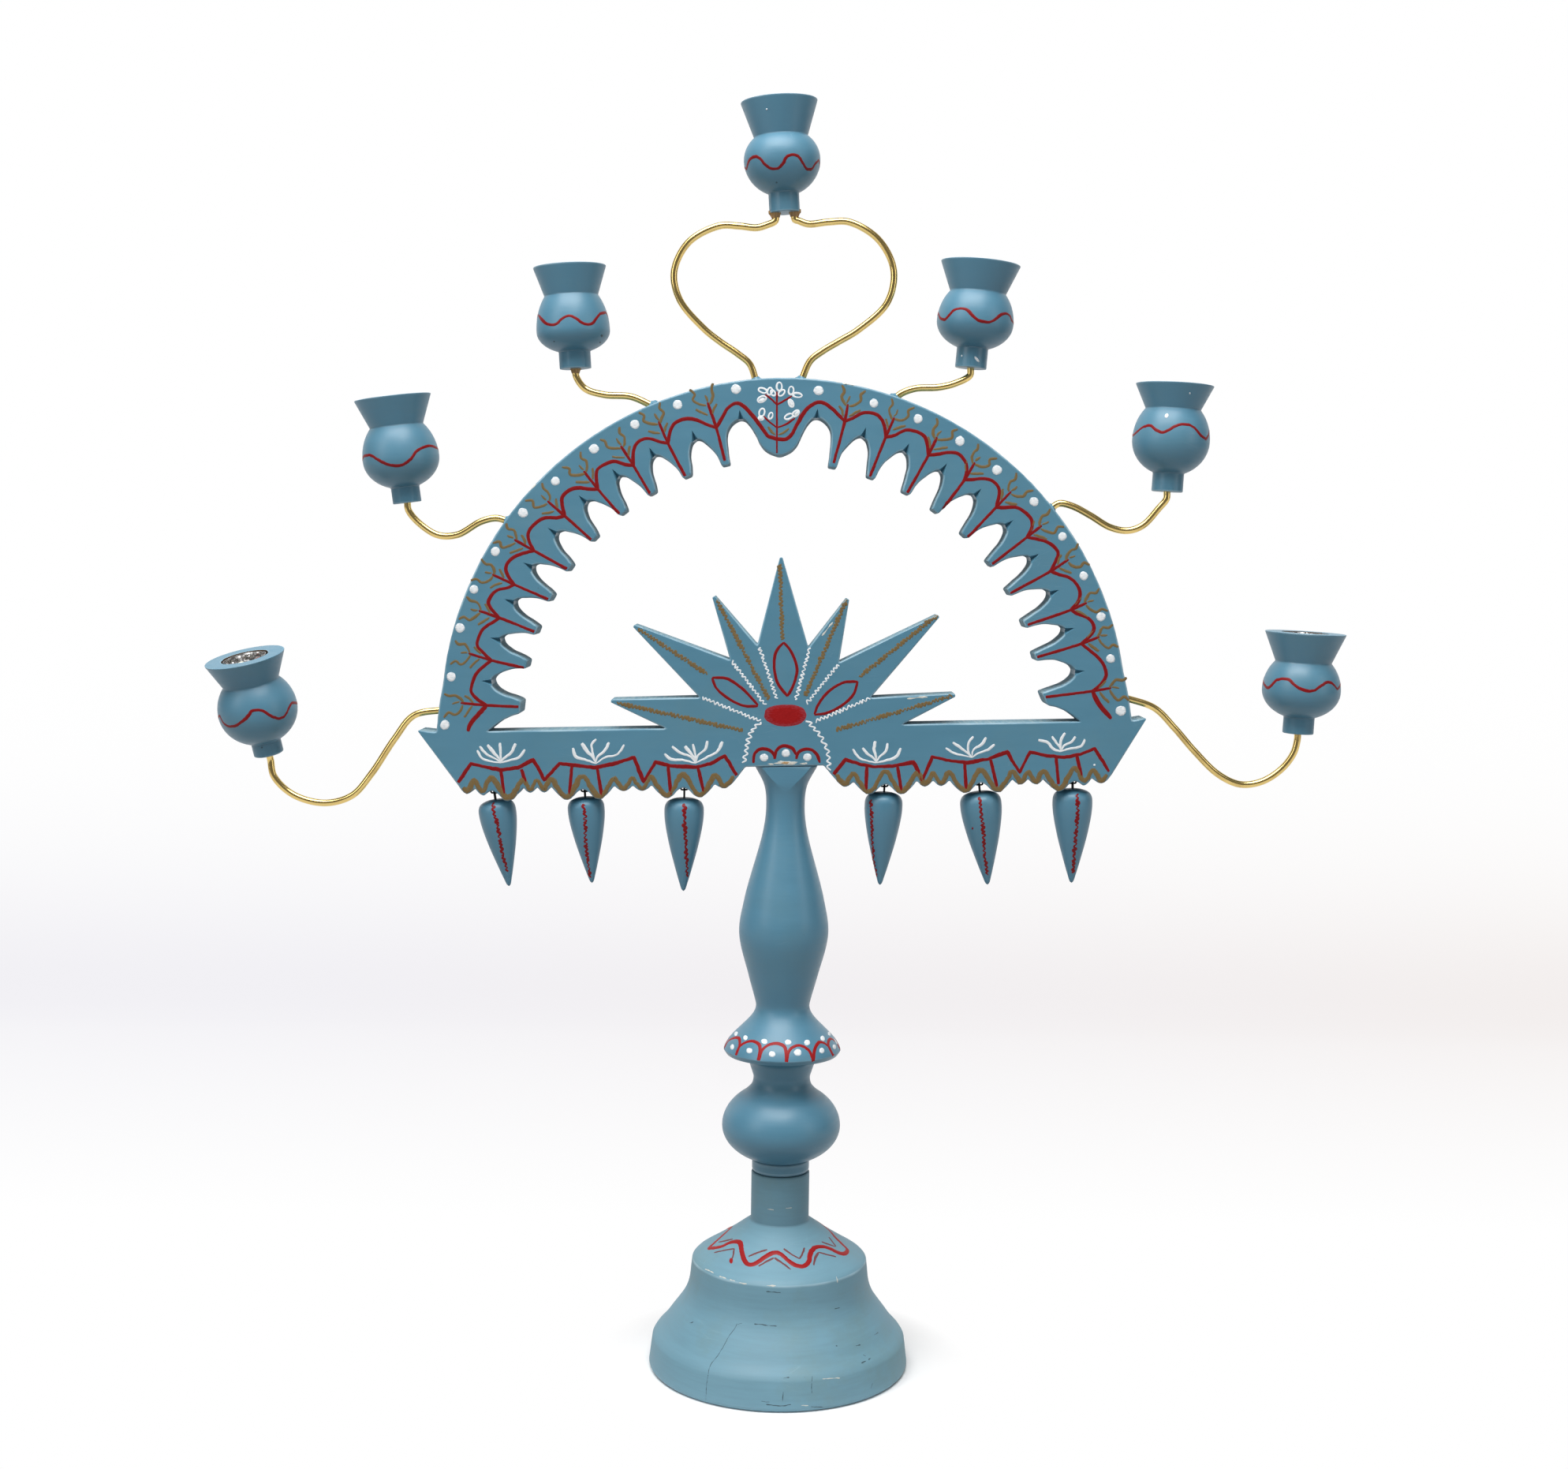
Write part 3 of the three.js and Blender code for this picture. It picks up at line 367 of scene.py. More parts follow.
def dab(brush, surface, hits, rise=0.1, ragged=0.1):
    # a filled spot of paint inside an outline
    if len(hits) < 5:
        return
    count = len(hits)
    centre = sum((spot for spot, normal in hits), Vector()) / count
    first = len(brush["points"])
    seed = dice.uniform(0, 100)
    rim, rimLift = brushwork["dabRim"]
    ripple, rippleRate = brushwork["ripple"]
    for share, lift in ((1, -brushwork["sunk"]), (rim, rimLift * rise), (0.5, rise), (0, rise)):
        for i, (spot, normal) in enumerate(hits if share else hits[:1]):
            turn = 2 * math.pi * i / count
            spin = Vector((math.cos(turn), math.sin(turn), seed))
            wobble = 1 + ragged * (noise.noise(spin) + ripple * noise.noise(spin * rippleRate))
            near, own, *_ = surface.find_nearest(centre + (spot - centre) * share * wobble)
            brush["points"].append(near + own * lift)
            brush["run"].append(seed + near.x - centre.x)
            brush["side"].append(0.4 * (near.z - centre.z))
            brush["across"].append(share)
    for ring in range(2):
        for i in range(count):
            j = (i + 1) % count
            a, b = first + ring * count, first + (ring + 1) * count
            brush["faces"].append((a + i, a + j, b + j, b + i))
    for i in range(count):
        top = first + 2 * count
        brush["faces"].append((top + i, top + (i + 1) % count, first + 3 * count))
    brush["faces"].append(tuple(first + i for i in reversed(range(count))))


def turnOutwards(mesh):
    # all faces look out, whichever way their outline ran
    shell = bmesh.new()
    shell.from_mesh(mesh)
    bmesh.ops.recalc_face_normals(shell, faces=shell.faces)
    shell.to_mesh(mesh)
    shell.free()


def traced(surface, line, step):
    # a smooth line through pixels of the photograph, where it meets the surface
    return throwPixels(surface, smoothLine(line, step))


def dabAt(brush, surface, spot, rise=0.1, ragged=0.1, sides=26, power=2):
    # a dab traced in the photograph; spot is x, y, half width, half height and its lean, if it has one
    x, y, *shape = spot
    dab(brush, surface, throwPixels(surface, ellipse((x, y), *shape, sides=sides, power=power)), rise, ragged)


def finishBrush(brush, name, material, body):
    piece = makePiece(name, brush["points"], brush["faces"], material, body, sharp=60,
                      marks={key: brush[key] for key in ("run", "side", "across")})
    turnOutwards(piece.data)


# Shader building

def plug(tree, socket, value):
    # links a socket to another node, or sets its value
    if isinstance(value, bpy.types.NodeSocket):
        tree.links.new(value, socket)
    else:
        socket.default_value = value


def put(tree, kind, sockets=None, **settings):
    made = tree.nodes.new(kind)
    for key, value in settings.items():
        setattr(made, key, value)
    for key, value in (sockets or {}).items():
        plug(tree, made.inputs[key], value)
    return made


def blend(tree, share, one, other):
    # mixes two colours; a mix node keeps its colour sockets at 6, 7 and 2
    return put(tree, "ShaderNodeMix", {0: share, 6: one, 7: other}, data_type="RGBA").outputs[2]


def sums(tree, way, one, other, clamp=False):
    return put(tree, "ShaderNodeMath", {0: one, 1: other}, operation=way, use_clamp=clamp).outputs[0]


def times(tree, one, other, clamp=False):
    return sums(tree, "MULTIPLY", one, other, clamp)


def plus(tree, one, other, clamp=False):
    return sums(tree, "ADD", one, other, clamp)


def minus(tree, one, other):
    return sums(tree, "SUBTRACT", one, other)


def span(tree, value, low, high, newLow=0.0, newHigh=1.0):
    sockets = {"Value": value, "From Min": low, "From Max": high, "To Min": newLow, "To Max": newHigh}
    return put(tree, "ShaderNodeMapRange", sockets).outputs["Result"]


def objectSpot(tree):
    return put(tree, "ShaderNodeTexCoord").outputs["Object"]


def markOf(tree, name):
    # a value that the mesh holds at each point
    return put(tree, "ShaderNodeAttribute", attribute_name=name).outputs["Fac"]


def cloudy(tree, spot, scale, detail=2.0, rough=0.5):
    sockets = {"Vector": spot, "Scale": scale, "Detail": detail, "Roughness": rough}
    return put(tree, "ShaderNodeTexNoise", sockets).outputs[0]


def stretched(tree, spot, by):
    return put(tree, "ShaderNodeVectorMath", {0: spot, 1: by}, operation="MULTIPLY").outputs[0]


def makeGroup(name, inputs, outputs):
    # inputs are names with their first values; a colour is a value of four numbers or an output named Color
    kinds = {True: "NodeSocketColor", False: "NodeSocketFloat"}
    group = bpy.data.node_groups.new(name, "ShaderNodeTree")
    for label, value in inputs.items():
        kind = kinds[isinstance(value, tuple)]
        group.interface.new_socket(label, in_out="INPUT", socket_type=kind).default_value = value
    for label in outputs:
        group.interface.new_socket(label, in_out="OUTPUT", socket_type=kinds[label == "Color"])
    return group, put(group, "NodeGroupInput").outputs, put(group, "NodeGroupOutput").inputs


def stretchedBy(tree, spot, given):
    # the group's own stretch along each axis
    ways = put(tree, "ShaderNodeCombineXYZ", {i: given["Stretch " + axis] for i, axis in enumerate("XYZ")})
    return stretched(tree, spot, ways.outputs[0])


def rgb(red, green, blue):
    # a colour as a picture program gives it, made linear
    levels = []
    for level in (red, green, blue):
        level /= 255
        levels.append(level / 12.92 if level <= 0.04045 else ((level + 0.055) / 1.055) ** 2.4)
    return (*levels, 1)


# Brushed paint: cloudy tone, faint brush marks that run one way, and their height
def makeBrushedTone():
    tree, given, wanted = makeGroup("brushed tone", {
        "Color": (0.5, 0.5, 0.5, 1), "Cloud Scale": 40, "Cloud Amount": 0.1,
        "Streak Scale": 300, "Streak Amount": 0.05, "Stretch X": 1, "Stretch Y": 1, "Stretch Z": 1,
    }, ["Color", "Height"])
    spot = objectSpot(tree)
    cloud = cloudy(tree, spot, given["Cloud Scale"], 4.0)
    streak = cloudy(tree, stretchedBy(tree, spot, given), given["Streak Scale"], 3.0)
    cloudPart = times(tree, minus(tree, cloud, 0.5), given["Cloud Amount"])
    streakPart = times(tree, minus(tree, streak, 0.5), given["Streak Amount"])
    level = plus(tree, plus(tree, cloudPart, streakPart), 1.0)
    scaled = put(tree, "ShaderNodeVectorMath", {0: given["Color"], "Scale": level}, operation="SCALE")
    plug(tree, wanted["Color"], scaled.outputs[0])
    plug(tree, wanted["Height"], plus(tree, streak, cloud))
    return tree


# Worn edges: a soft rub, which is partly a painted highlight along the edges, and hard chips where the mesh
# marks an edge
def makeEdgeWearAndHighlight():
    tree, given, wanted = makeGroup("edge wear and highlight", {
        "Chip Scale": 180, "Chips": 0.5, "Rub Scale": 60, "Rub And Highlight": 0.5,
    }, ["Chip", "Rub And Highlight"])
    edge = markOf(tree, "wear")
    spot = objectSpot(tree)
    ragged = cloudy(tree, spot, given["Chip Scale"], 3.0)
    places = cloudy(tree, spot, given["Rub Scale"], 2.0)
    limit = span(tree, given["Chips"], 0.0, 1.0, 0.78, 0.45)
    mixed = times(tree, plus(tree, ragged, places), 0.5)
    over = minus(tree, times(tree, mixed, edge), limit)
    soft = span(tree, times(tree, places, edge), 0.3, 0.75)
    plug(tree, wanted["Chip"], span(tree, over, 0.0, 0.02))
    plug(tree, wanted["Rub And Highlight"], times(tree, soft, given["Rub And Highlight"]))
    return tree


# Specks: small uneven spots, sparse where the patches noise is low
def makeSpecks():
    tree, given, wanted = makeGroup("specks", {
        "Scale": 250, "Size": 0.12, "Patches": 12, "Share": 0.5,
    }, ["Mask"])
    spot = objectSpot(tree)
    warp = put(tree, "ShaderNodeTexNoise", {"Vector": spot, "Scale": times(tree, given["Scale"], 2.0)})
    shake = put(tree, "ShaderNodeVectorMath", {0: warp.outputs["Color"], "Scale": 0.002}, operation="SCALE")
    moved = put(tree, "ShaderNodeVectorMath", {0: spot, 1: shake.outputs[0]}, operation="ADD").outputs[0]
    cells = put(tree, "ShaderNodeTexVoronoi", {"Vector": moved, "Scale": given["Scale"]})
    patches = cloudy(tree, spot, given["Patches"], 1.0)
    allowed = span(tree, patches, minus(tree, 1.0, given["Share"]), 1.0)
    inside = minus(tree, times(tree, allowed, given["Size"]), cells.outputs["Distance"])
    plug(tree, wanted["Mask"], span(tree, inside, 0.0, 0.03))
    return tree


# Scratches: thin broken lines that run along one stretched direction
def makeScratches():
    tree, given, wanted = makeGroup("scratches", {
        "Scale": 60, "Width": 0.02, "Share": 0.4, "Stretch X": 1, "Stretch Y": 1, "Stretch Z": 8,
    }, ["Mask"])
    spot = objectSpot(tree)
    sockets = {"Vector": stretchedBy(tree, spot, given), "Scale": given["Scale"]}
    cells = put(tree, "ShaderNodeTexVoronoi", sockets, feature="DISTANCE_TO_EDGE")
    broken = cloudy(tree, spot, given["Scale"], 2.0)
    line = span(tree, cells.outputs["Distance"], given["Width"], 0.0)
    allowed = span(tree, broken, minus(tree, 1.0, given["Share"]), 1.0)
    plug(tree, wanted["Mask"], times(tree, line, allowed, clamp=True))
    return tree


groups = {
    "tone": makeBrushedTone(),
    "wear": makeEdgeWearAndHighlight(),
    "specks": makeSpecks(),
    "scratches": makeScratches(),
}


def use(tree, name, values):
    return put(tree, "ShaderNodeGroup", values, node_tree=groups[name]).outputs


def newMaterial(name):
    made = bpy.data.materials.new(name)
    made.use_nodes = True
    return made, made.node_tree, made.node_tree.nodes["Principled BSDF"]


def bumpInto(tree, shader, height, strength, distance):
    bump = put(tree, "ShaderNodeBump", {"Height": height, "Strength": strength, "Distance": distance * mm})
    plug(tree, shader.inputs["Normal"], bump.outputs[0])


# What age adds to the wood, with painted shade for the nooks and colours that are partly painted light for
# the sawn walls and rubbed edges
ageingAndLight = {
    "shadedNook": rgb(62, 92, 108), "sawn": rgb(150, 168, 170), "grime": rgb(112, 134, 122),
    "rubbedAndHighlit": rgb(176, 204, 216), "scratch": rgb(178, 204, 216), "speck": rgb(58, 66, 66),
    "chip": rgb(226, 214, 188), "boreDarkening": rgb(30, 27, 25),
}


# Satin oil paint on wood. Stretch pulls the brush marks along one way: a small number is the way they run.
def paintedWood(name, colour, stretch, cloud=(30, 0.16), streak=(420, 0.1), chips=0.35, rubAndHighlight=0.5,
                specks=(160, 0.16, 0.45), scratch=(55, 0.4), rough=(0.38, 0.55), coat=0.28, grime=0.12):
    made, tree, shader = newMaterial(name)
    tone = use(tree, "tone", {"Color": colour, "Cloud Scale": cloud[0], "Cloud Amount": cloud[1],
                              "Streak Scale": streak[0], "Streak Amount": streak[1],
                              "Stretch X": stretch[0], "Stretch Y": stretch[1], "Stretch Z": stretch[2]})
    wornAndHighlit = use(tree, "wear", {"Chips": chips, "Rub And Highlight": rubAndHighlight})
    dirt = use(tree, "specks", {"Scale": specks[0], "Size": specks[1], "Share": specks[2]})["Mask"]
    lines = use(tree, "scratches", {"Scale": scratch[0], "Share": scratch[1]})["Mask"]
    sawn = markOf(tree, "sawn")
    spot = objectSpot(tree)
    # the sawn walls show pale fibres that run from face to face; their pale colour is partly painted light
    # that the walls catch
    fibres = cloudy(tree, stretched(tree, spot, (1.0, 0.05, 1.0)), 1100.0, 3.0)
    # painted shade darkens the inward corners of turned pieces, and the tops of the ring and the post under
    # the parts above them
    shade = blend(tree, times(tree, markOf(tree, "shadedNook"), 0.3), tone["Color"], ageingAndLight["shadedNook"])
    shade = blend(tree, times(tree, sawn, span(tree, fibres, 0.3, 0.7, 0.15, 0.75)), shade, ageingAndLight["sawn"])
    patch = cloudy(tree, spot, 26.0, 6.0, 0.7)
    shade = blend(tree, times(tree, span(tree, patch, 0.5, 0.72), grime), shade, ageingAndLight["grime"])
    # the pale rub along the edges is partly wear and partly a painted highlight
    shade = blend(tree, wornAndHighlit["Rub And Highlight"], shade, ageingAndLight["rubbedAndHighlit"])
    shade = blend(tree, times(tree, lines, 0.35), shade, ageingAndLight["scratch"])
    shade = blend(tree, times(tree, dirt, 0.7), shade, ageingAndLight["speck"])
    shade = blend(tree, wornAndHighlit["Chip"], shade, ageingAndLight["chip"])
    plug(tree, shader.inputs["Base Color"], shade)
    gloss = span(tree, tone["Height"], 0.7, 1.3, rough[0], rough[1])
    gloss = plus(tree, gloss, times(tree, wornAndHighlit["Chip"], 0.35))
    plug(tree, shader.inputs["Roughness"], plus(tree, gloss, times(tree, sawn, 0.3), clamp=True))
    height = minus(tree, tone["Height"], times(tree, wornAndHighlit["Chip"], 2.0))
    height = minus(tree, height, times(tree, lines, 0.4))
    height = plus(tree, height, times(tree, times(tree, fibres, sawn), 0.5))
    bumpInto(tree, shader, height, 0.12, 0.25)
    plug(tree, shader.inputs["Coat Weight"], times(tree, minus(tree, 1.0, sawn), coat))
    shader.inputs["Coat Roughness"].default_value = 0.32
    return made


# Paint of the strokes: it thins out along the bristle marks, and into the blue at the edges
def strokePaint(name, colour, under, thin=0.5, fringe=0.3, rough=0.45):
    made, tree, shader = newMaterial(name)
    along, aside = times(tree, markOf(tree, "run"), 0.35), times(tree, markOf(tree, "side"), 2.4)
    bristles = cloudy(tree, put(tree, "ShaderNodeCombineXYZ", {0: along, 1: aside}).outputs[0], 2.2, 4.0)
    tone = use(tree, "tone", {"Color": colour, "Cloud Scale": 120, "Cloud Amount": 0.3,
                              "Streak Scale": 900, "Streak Amount": 0.12})
    shade = blend(tree, times(tree, span(tree, bristles, 0.42, 0.7), thin), tone["Color"], under)
    across = put(tree, "ShaderNodeMath", {0: markOf(tree, "across")}, operation="ABSOLUTE").outputs[0]
    edge = span(tree, plus(tree, across, bristles), 1.15, 1.55)
    plug(tree, shader.inputs["Base Color"], blend(tree, times(tree, edge, fringe), shade, blues["board"]))
    plug(tree, shader.inputs["Roughness"], span(tree, bristles, 0.3, 0.7, rough - 0.07, rough + 0.1))
    shader.inputs["Specular IOR Level"].default_value = 0.25
    bumpInto(tree, shader, bristles, 0.3, 0.06)
    return made


# Drawn brass rod with brown tarnish and fine drawing lines
def brassRod(name, metal, tarnish, stain):
    made, tree, shader = newMaterial(name)
    shader.inputs["Metallic"].default_value = 1.0
    tone = use(tree, "tone", {"Color": metal, "Cloud Scale": 60, "Cloud Amount": 0.25,
                              "Streak Scale": 400, "Streak Amount": 0.1})
    spots = use(tree, "specks", {"Scale": 160, "Size": 0.3, "Patches": 30, "Share": 0.45})["Mask"]
    dull = span(tree, cloudy(tree, objectSpot(tree), 38.0, 5.0, 0.65), 0.52, 0.75)
    shade = blend(tree, times(tree, dull, 0.6), tone["Color"], tarnish)
    plug(tree, shader.inputs["Base Color"], blend(tree, times(tree, spots, 0.3), shade, stain))
    plug(tree, shader.inputs["Roughness"], span(tree, dull, 0.0, 1.0, 0.17, 0.4))
    bumpInto(tree, shader, tone["Height"], 0.06, 0.05)
    return made


def blackWire(name, steel, rusty):
    made, tree, shader = newMaterial(name)
    shader.inputs["Metallic"].default_value = 0.5
    tone = use(tree, "tone", {"Color": steel, "Cloud Scale": 200, "Cloud Amount": 0.6})
    rust = use(tree, "specks", {"Scale": 700, "Size": 0.4, "Patches": 90, "Share": 0.5})["Mask"]
    plug(tree, shader.inputs["Base Color"], blend(tree, times(tree, rust, 0.6), tone["Color"], rusty))
    plug(tree, shader.inputs["Roughness"], span(tree, rust, 0.0, 1.0, 0.38, 0.75))
    bumpInto(tree, shader, tone["Height"], 0.2, 0.05)
    return made


# Unpainted wood with fine rings and pores; made darker for the bores
def bareWood(name, light, dark, boreDarkening=0.0):
    made, tree, shader = newMaterial(name)
    spot = objectSpot(tree)
    pulled = stretched(tree, spot, (1.0, 1.0, 0.12))
    grain = cloudy(tree, pulled, 900.0, 5.0)
    rings = put(tree, "ShaderNodeTexWave", {"Vector": pulled, "Scale": 260.0, "Distortion": 3.0})
    mixed = times(tree, plus(tree, grain, rings.outputs["Fac"]), 0.5)
    darkened = span(tree, cloudy(tree, spot, 120.0, 3.0), 0.35, 0.65, boreDarkening * 0.6, boreDarkening)
    shade = blend(tree, mixed, light, dark)
    plug(tree, shader.inputs["Base Color"], blend(tree, darkened, shade, ageingAndLight["boreDarkening"]))
    plug(tree, shader.inputs["Roughness"], span(tree, grain, 0.3, 0.7, 0.6, 0.85))
    bumpInto(tree, shader, mixed, 0.4, 0.1)
    return made


def crinkledFoil(name, bright, dull):
    made, tree, shader = newMaterial(name)
    shader.inputs["Metallic"].default_value = 1.0
    cells = put(tree, "ShaderNodeTexVoronoi", {"Vector": objectSpot(tree), "Scale": 420.0}, feature="F1")
    folds = cells.outputs["Distance"]
    plug(tree, shader.inputs["Base Color"], blend(tree, folds, bright, dull))
    plug(tree, shader.inputs["Roughness"], span(tree, folds, 0.0, 0.6, 0.22, 0.45))
    bumpInto(tree, shader, folds, 0.7, 0.4)
    return made


def waxRest(name, colour, dirty):
    made, tree, shader = newMaterial(name)
    shader.inputs["Subsurface Weight"].default_value = 0.15
    tone = use(tree, "tone", {"Color": colour, "Cloud Scale": 260, "Cloud Amount": 0.3})
    specks = use(tree, "specks", {"Scale": 500, "Size": 0.35, "Patches": 80, "Share": 0.6})["Mask"]
    plug(tree, shader.inputs["Base Color"], blend(tree, times(tree, specks, 0.5), tone["Color"], dirty))
    plug(tree, shader.inputs["Roughness"], span(tree, tone["Height"], 0.7, 1.3, 0.3, 0.5))
    bumpInto(tree, shader, tone["Height"], 0.3, 0.3)
    return made


blues = {
    "board": rgb(78, 129, 152),
    "turned": rgb(78, 129, 153),
    # the foot's blue is lighter than the stem's, as painted light for the stronger light on its up-facing
    # flare and dome
    "foot": rgb(110, 152, 169),
}
paints = {
    "board": paintedWood("board_paint", blues["board"], (0.14, 1, 1), cloud=(22, 0.12), chips=0.3, rubAndHighlight=0.55),
    "foot": paintedWood("foot_paint_with_painted_light", blues["foot"], (0.25, 0.25, 3), streak=(260, 0.2), chips=0.3, rubAndHighlight=0.6,
                        rough=(0.5, 0.66), coat=0.1, grime=0.35),
    "stem": paintedWood("stem_paint", blues["turned"], (0.3, 0.3, 2.5), streak=(300, 0.08), chips=0.1,
                        rubAndHighlight=0.3),
    "cup": paintedWood("cup_paint", blues["turned"], (0.4, 0.4, 2), streak=(360, 0.08), chips=0.42, rubAndHighlight=0.5),
    "drop": paintedWood("drop_paint", blues["turned"], (1, 1, 0.2), streak=(420, 0.08), chips=0.0, rubAndHighlight=0.2,
                        scratch=(55, 0.15)),
    "red": strokePaint("red_paint", rgb(120, 4, 8), rgb(164, 16, 20)),
    "vivid": strokePaint("vivid_red_paint", rgb(146, 8, 10), rgb(172, 26, 28), fringe=0.15),
    "deepRed": strokePaint("deep_red_paint", rgb(118, 48, 48), rgb(96, 92, 98), thin=0.8),
    "white": strokePaint("white_paint", rgb(240, 241, 242), rgb(178, 202, 212), fringe=0.4),
    "ochre": strokePaint("ochre_paint", rgb(122, 94, 50), rgb(106, 112, 94), thin=0.75, fringe=0.75),
    "hairline": strokePaint("crack_dirt", rgb(62, 76, 80), rgb(92, 124, 138), thin=1.0, fringe=0.6),
    "bareChip": strokePaint("chipped_ground", rgb(216, 214, 204), rgb(160, 168, 164), thin=0.8, fringe=0,
                            rough=0.7),
}
metals = {
    "brass": brassRod("brass", rgb(222, 194, 124), rgb(132, 96, 48), rgb(104, 74, 42)),
    "hook": blackWire("black_wire", rgb(26, 24, 25), rgb(92, 58, 40)),
    "foil": crinkledFoil("foil", rgb(206, 206, 204), rgb(120, 118, 118)),
}
woods = {
    "plain": bareWood("bare_wood", rgb(196, 160, 112), rgb(160, 122, 78)),
    "bore": bareWood("candle_bore", rgb(150, 118, 84), rgb(92, 70, 52), boreDarkening=0.85),
}
waxes = {"white": waxRest("white_wax", rgb(236, 226, 206), rgb(150, 120, 96)),
         "red": waxRest("red_wax", rgb(104, 24, 26), rgb(50, 20, 20))}
print("materials made:", len(bpy.data.materials))


# The foot, turned in one piece with its post
foot = {
    "diameter": 114.4, "edgeRound": 1.5, "band": 111.6, "bandHeight": 12.6,
    "shoulder": 77, "shoulderHeight": 47.8, "domeTop": 65.5,
    "post": 25.6, "postHeight": 87, "socket": 12.6, "socketDepth": 30.3, "sides": 192,
    # points of the flare: how far in from the band or out from the shoulder, and the share of the rise
    "flareIn": [(1.1, 0.05), (4.3, 0.15)], "flareOut": [(9.9, 0.27), (3.5, 0.53), (1.3, 0.7), (0.4, 0.9)],
    # points of the dome: in from the shoulder and above it, and out from the post and below the top
    "domeIn": [(1.3, 1.4), (8.5, 6)], "domeOut": [(9.2, 6.5), (2.6, 1.7)],
    # the post is hardly rubbed and takes little painted edge highlight, and it gets painted shade just under
    # the ring
    "postWear": 0.1, "shadedNook": 0.8, "shadedNookHeight": 0.9,
}


def makeFoot():
    rim, band, shoulder, post = (foot[k] / 2 for k in ("diameter", "band", "shoulder", "post"))
    low, high, top = foot["bandHeight"], foot["shoulderHeight"], foot["domeTop"]
    rise = high - low
    flare = [(band - x, low + share * rise) for x, share in foot["flareIn"]]
    flare += [(shoulder + x, low + share * rise) for x, share in foot["flareOut"]]
    flare = smoothLine([(band, low), *flare, (shoulder, high)], 1.2)
    dome = [(shoulder - x, high + z) for x, z in foot["domeIn"]]
    dome += [(post + x, top - z) for x, z in foot["domeOut"]]
    dome = smoothLine([(shoulder, high), *dome, (post, top)], 1.2)
    socket, bottom = foot["socket"] / 2, foot["postHeight"] - foot["socketDepth"]
    outline = [(0, 0), (rim - foot["edgeRound"], 0), (rim, foot["edgeRound"]), *flare, *dome[1:],
               (post, foot["postHeight"]), (socket, foot["postHeight"]), (socket, bottom), (0, bottom)]
    points, faces, marks = turned(softened(outline, 0.7, 0.9), foot["sides"])
    # painted shade on the post's top, just under the ring
    shadedNookFrom = foot["postHeight"] - foot["shadedNookHeight"]
    for i, spot in enumerate(points):
        if not 2 * foot["edgeRound"] < spot.z < top:
            marks["wear"][i] *= foot["postWear"]
        if spot.z > shadedNookFrom:
            marks["shadedNook"][i] = max(marks["shadedNook"][i], foot["shadedNook"])
    return makePiece("foot_turned", points, faces, paints["foot"], "base", ["base_foot"],
                     marks=marks)


# The loose ring between the post and the stem
ring = {
    "diameter": 25.2, "bottom": 87.3, "thickness": 5.4, "bore": 12.6, "sides": 128,
    "lowerRound": 1, "upperRound": 0.5, "shadedNookHeight": 0.7,
}


def makeRing():
    outer, bore, low = ring["diameter"] / 2, ring["bore"] / 2, ring["bottom"]
    top, soft = low + ring["thickness"], ring["upperRound"]
    outline = [(bore, low), (outer - soft, low), (outer, low + ring["lowerRound"]), (outer, top - soft),
               (outer - soft, top), (bore, top)]
    line = softened(outline, 0.6, wide=0.9)
    points, faces, marks = turned(line, ring["sides"])
    # painted shade along the ring's top, just under the ball
    shadedNookFrom = top - ring["shadedNookHeight"]
    marks["shadedNook"] = [1.0 if spot.z > shadedNookFrom else shadedNook for shadedNook, spot in zip(marks["shadedNook"], points)]
    sides = ring["sides"]
    last = (len(line) - 1) * sides
    for i in range(sides):
        j = (i + 1) % sides
        faces.append((last + i, last + j, j, i))
    makePiece("ring_turned", points, faces, paints["stem"], "ring", ["spacer_ring"],
              marks=marks)


# The stem from its tenon to the board, shaved flat at both faces of the board
stem = {
    "tenon": 12, "tenonBottom": 57, "shoulder": 93, "ballFoot": 26, "ball": 52, "ballLower": 14.6,
    "ballUpper": 14.6, "ballTop": 33.2, "cove": 24.8, "coveHeight": 17.5, "skirt": 51.4, "skirtRim": 2,
    "slope": 19.3, "waist": 23, "belly": 39, "waistToBelly": 32, "neck": 16.8, "bellyToNeck": 56,
    "top": 27.6, "neckToTop": 17.8, "flat": 18, "sides": 160,
    # points of the cove and the slope: how far in or out from an end, and the share of the height
    "coveOut": [(2.4, 0.09), (0.7, 0.21), (0, 0.4), (0.6, 0.53), (1.3, 0.65), (2.6, 0.83)],
    "underSkirt": (7.7, 0.94), "skirtEdge": 1.3,
    "slopeIn": [(0.9, 0.1), (2.8, 0.25)], "slopeOut": [(6, 0.54), (3, 0.7), (0.8, 0.87), (0.2, 1)],
    # points of the shaft: a height above the waist, then shares of the width and of the height
    "waistFoot": (0.7, 2.6), "toBelly": (0.46, 0.42), "toNeck": [(0.81, 0.27), (0.1, 0.81)],
    "neckOut": (0.9, 0.5), "intoBoard": 2,
}
# the board stands a little aslant on the stem
boardPlace = Matrix.Translation((-0.6, 0, 267.1)) @ Matrix.Rotation(math.radians(-1.75), 4, "Y")


def ovalQuarter(widest, narrow, centre, height):
    reach = math.sqrt(1 - (narrow / widest) ** 2)
    last = math.asin(reach)
    line = []
    steps = 14
    for i in range(steps + 1):
        turn = last * i / steps
        line.append((widest * math.cos(turn), centre + height * math.sin(turn) / reach))
    return line


